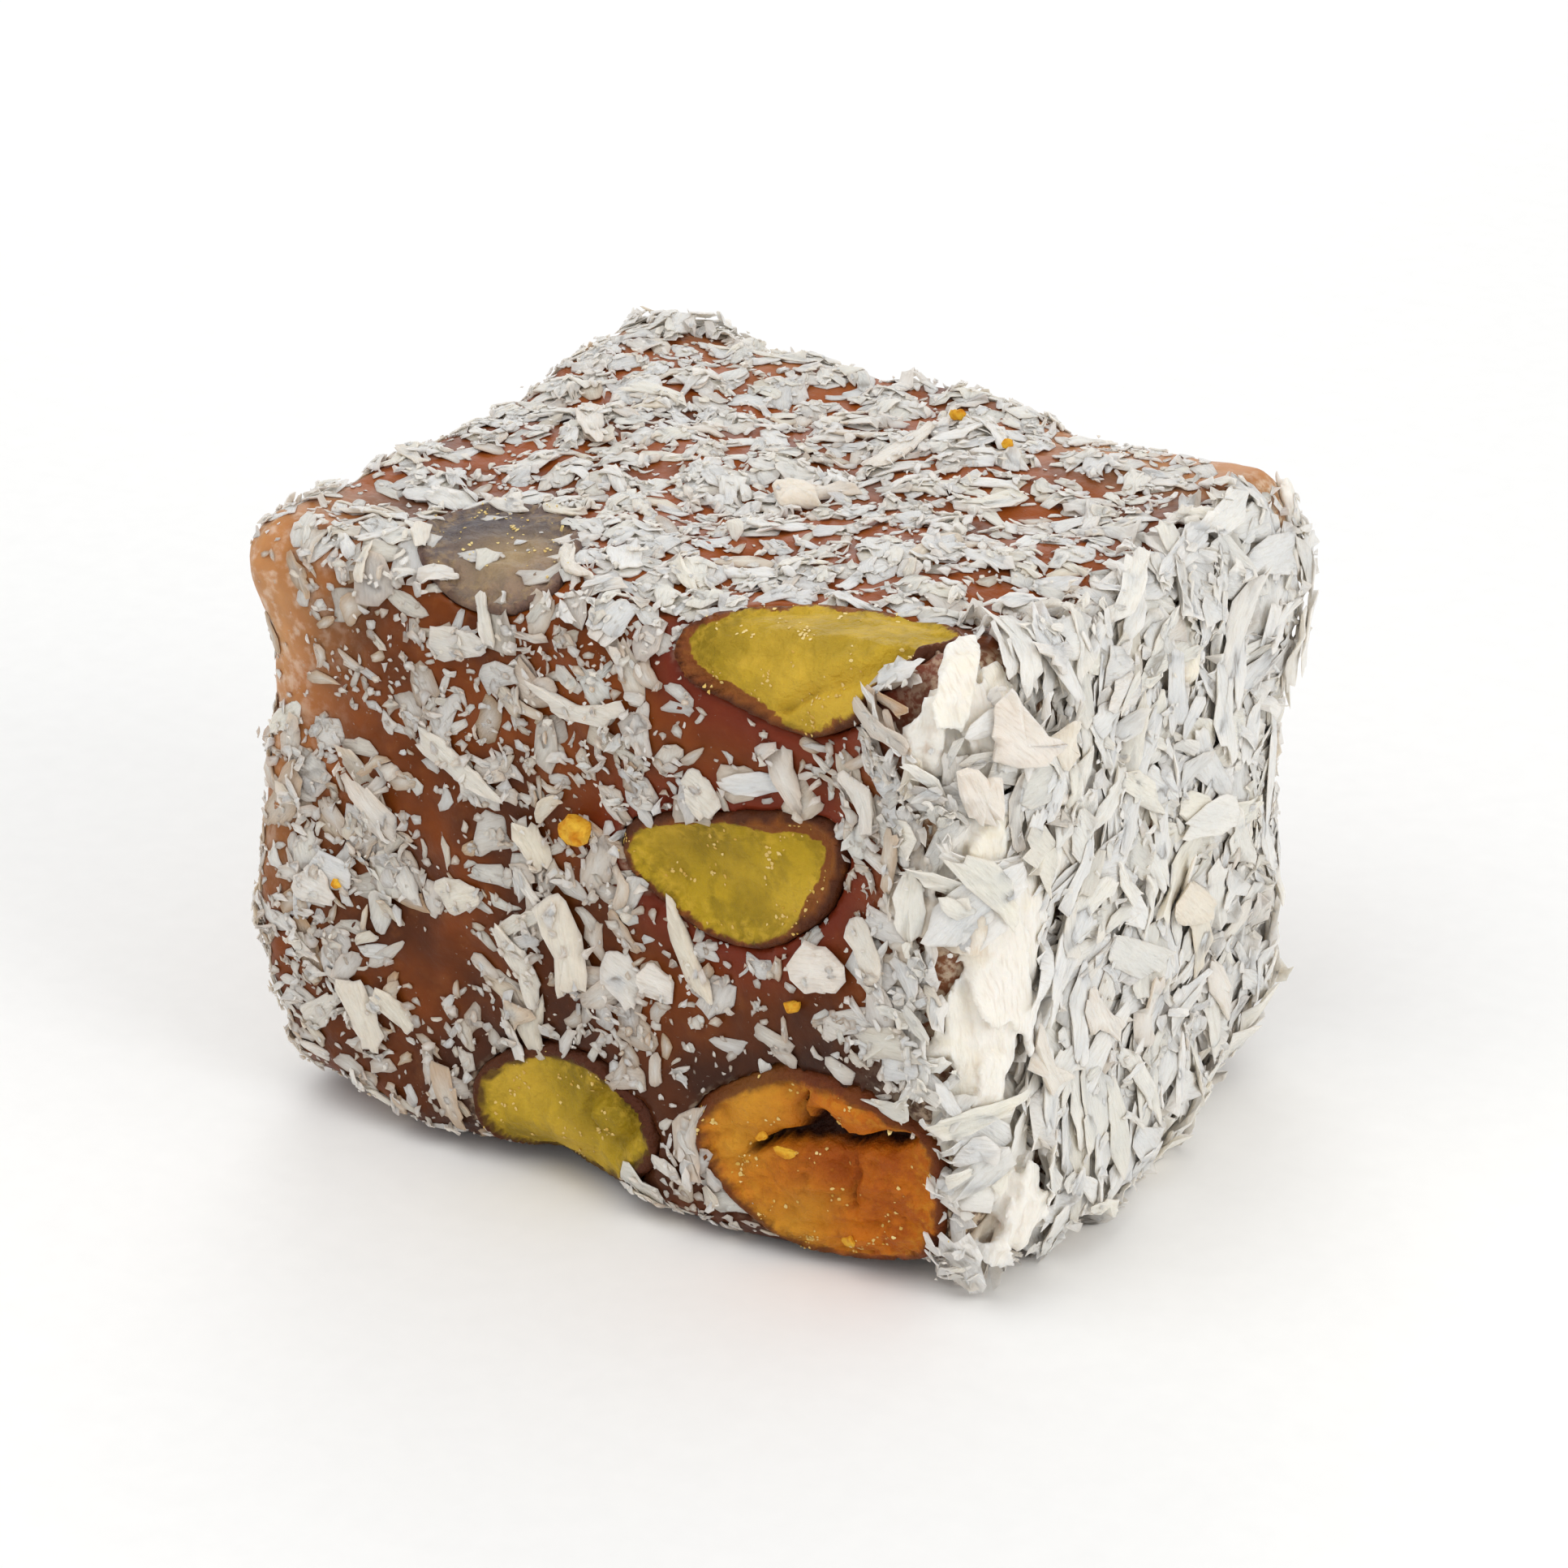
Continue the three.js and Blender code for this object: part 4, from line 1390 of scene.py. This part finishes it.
# %% [markdown]
# ## The coat goes on
#
# The clumps go down first, then chips, shreds and slivers in three rounds, so that no kind lies wholly on
# top of another. The listed large flakes follow, and the fine grit comes last, since it falls into what
# gaps are left. All random choices come from numbered seeds, so the same sweet comes out each time.

# %% Strew the coconut
ROUNDS = 3
fewer = 1
heaps = {kind["name"]: Heap(kind) for kind in KINDS}
draws = {kind["name"]: np.random.default_rng(kind["seed"]) for kind in KINDS}
pasted = 0.3 * facing_right + 1.2 * upright_edge + 0.01
pasted *= np.clip(1 + 0.8 * waves(ground_points, 73, 7.0, 2), 0.1, 2.0) * (strength > 0.1)
pasted *= smooth_share(ground_gap, 0.8, 2.2)


def strew_kind(kind, parts, wanted):
    """Strews this part of all the flakes of one kind."""
    name = kind["name"]
    strew(heaps[name], kind["number"] // (parts * fewer), draws[name], wanted)


strew_kind(CLUMPS, 1, pasted)
for part in range(ROUNDS):
    for kind in (CHIPS, SHREDS, SLIVERS):
        strew_kind(kind, ROUNDS, strength)
    print("after round", part + 1, "the coat is", round(float(coat[~on_kernel].mean()), 2), "mm deep")
for large in LARGE_FLAKES:
    lay_by_hand(heaps["coconut_shreds"], large, draws["coconut_shreds"])
strew_kind(GRIT, 1, strength)
print("bare jelly left:", round(float((coat[~on_kernel] == 0).mean()) * 100), "%")

# %% Join the coconut
for name, heap in heaps.items():
    piece = heap.joined()
    if name == "coconut_clumps":
        melt(piece)
    piece.data.materials.append(coconut)
    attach(piece, "root")
    print(name, len(heap.lumps), "flakes,", triangles_of(piece.data), "triangles")

# %% [markdown]
# ## Crumbs of nut
#
# The knife leaves crumbs of kernel: one golden crumb sits on the front face, a few more lie about, and a
# fine dust of nut and sugar clings to the moist cut faces. Dust this fine is only a tenth of a millimetre
# or two across, yet without it the cut faces look like plastic.

# %% Crumbs
CRUMBS_BY_HAND = [
    {"from": (-1.7, -15.9, 18.9), "to": (0.1, -15.9, 19.2), "width": 1.5, "thick": 1.1},
    {"from": (10.2, -15.9, 13.3), "to": (11.1, -15.9, 13.4), "width": 0.6, "thick": 0.5},
    {"from": (8.7, -16.2, 6.3), "to": (9.3, -16.2, 6.5), "width": 0.4, "thick": 0.35},
    {"from": (9.6, -16.2, 6.1), "to": (10.7, -16.2, 6.4), "width": 0.45, "thick": 0.35},
    {"from": (12.6, -16.2, 2.0), "to": (13.3, -16.2, 2.3), "width": 0.6, "thick": 0.3},
    {"from": (3.4, 9.6, 31.0), "to": (3.9, 10.2, 31.0), "width": 0.6, "thick": 0.5},
]
CRUMB = {
    "name": "nut_crumbs", "corners": 11,
    "rings": [(0.5, 0.95), (0.85, 0.75), (1.0, 0.4), (0.7, 0.0)],
    "length": (0.3, 0.8), "ratio": (1.0, 1.6), "thick": (0.3, 0.5), "ragged": 0.2, "bend": 0.0,
    "lean": 0.1, "press": 20, "spread": 0.4, "up": 1.0, "right": 1.0, "hang": 0.0,
}
STRAY_CRUMBS = 3
crumb_heap = Heap(CRUMB)
crumb_draw = np.random.default_rng(505)
for crumb in CRUMBS_BY_HAND:
    lay_by_hand(crumb_heap, crumb, crumb_draw)
strew(crumb_heap, STRAY_CRUMBS, crumb_draw, np.where(on_kernel | (facing_right > 0.2), 0.0, strength))

# %% Dust
DUST = {
    "name": "kernel_dust", "corners": 6,
    "rings": [(1.0, 0.45)],
    "length": (0.08, 0.24), "ratio": (1.0, 1.6), "thick": (0.06, 0.12), "ragged": 0.2, "bend": 0.0,
    "lean": 0.2, "press": 50, "spread": 0.4, "up": 1.0, "right": 1.0, "hang": 0.0,
}
DUST_GRAINS = 1100
dust_heap = Heap(DUST)
clustered = np.clip(0.25 + 0.9 * waves(ground_points, 72, 2.2, 2), 0.02, 2.0) ** 2
strew(dust_heap, DUST_GRAINS // fewer, np.random.default_rng(606), on_kernel * clustered)

# %% Crumb and dust materials
book = Material("golden_crumb")
lumps = book.noise(book.place(), 1.6, 3.0)
crumb_tone = book.blend(lumps.step(0.35, 0.65), colour(204, 132, 24), colour(230, 180, 58))
crumb_material = book.finish(
    {
        "Base Color": crumb_tone,
        "Roughness": 0.5 + lumps * 0.2,
        "Normal": book.bump(book.noise(book.place(), 4.0, 3.0), 0.12, 0.9),
        "Specular IOR Level": 0.15,
    }
)
book = Material("sugar_dust")
dust_tone = book.blend(book.attribute("tone"), colour(204, 160, 56), colour(232, 208, 138))
dust_material = book.finish({"Base Color": dust_tone, "Roughness": 0.4 + book.attribute("warmth") * 0.3})

# %% Join the crumbs and the dust
for heap, material, slot in (
    (crumb_heap, crumb_material, "kernel_gold"),
    (dust_heap, dust_material, "kernel_green"),
):
    piece = heap.joined()
    piece.data.materials.append(material)
    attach(piece, "root")
    print(piece.name, len(heap.lumps), "bits,", triangles_of(piece.data), "triangles")
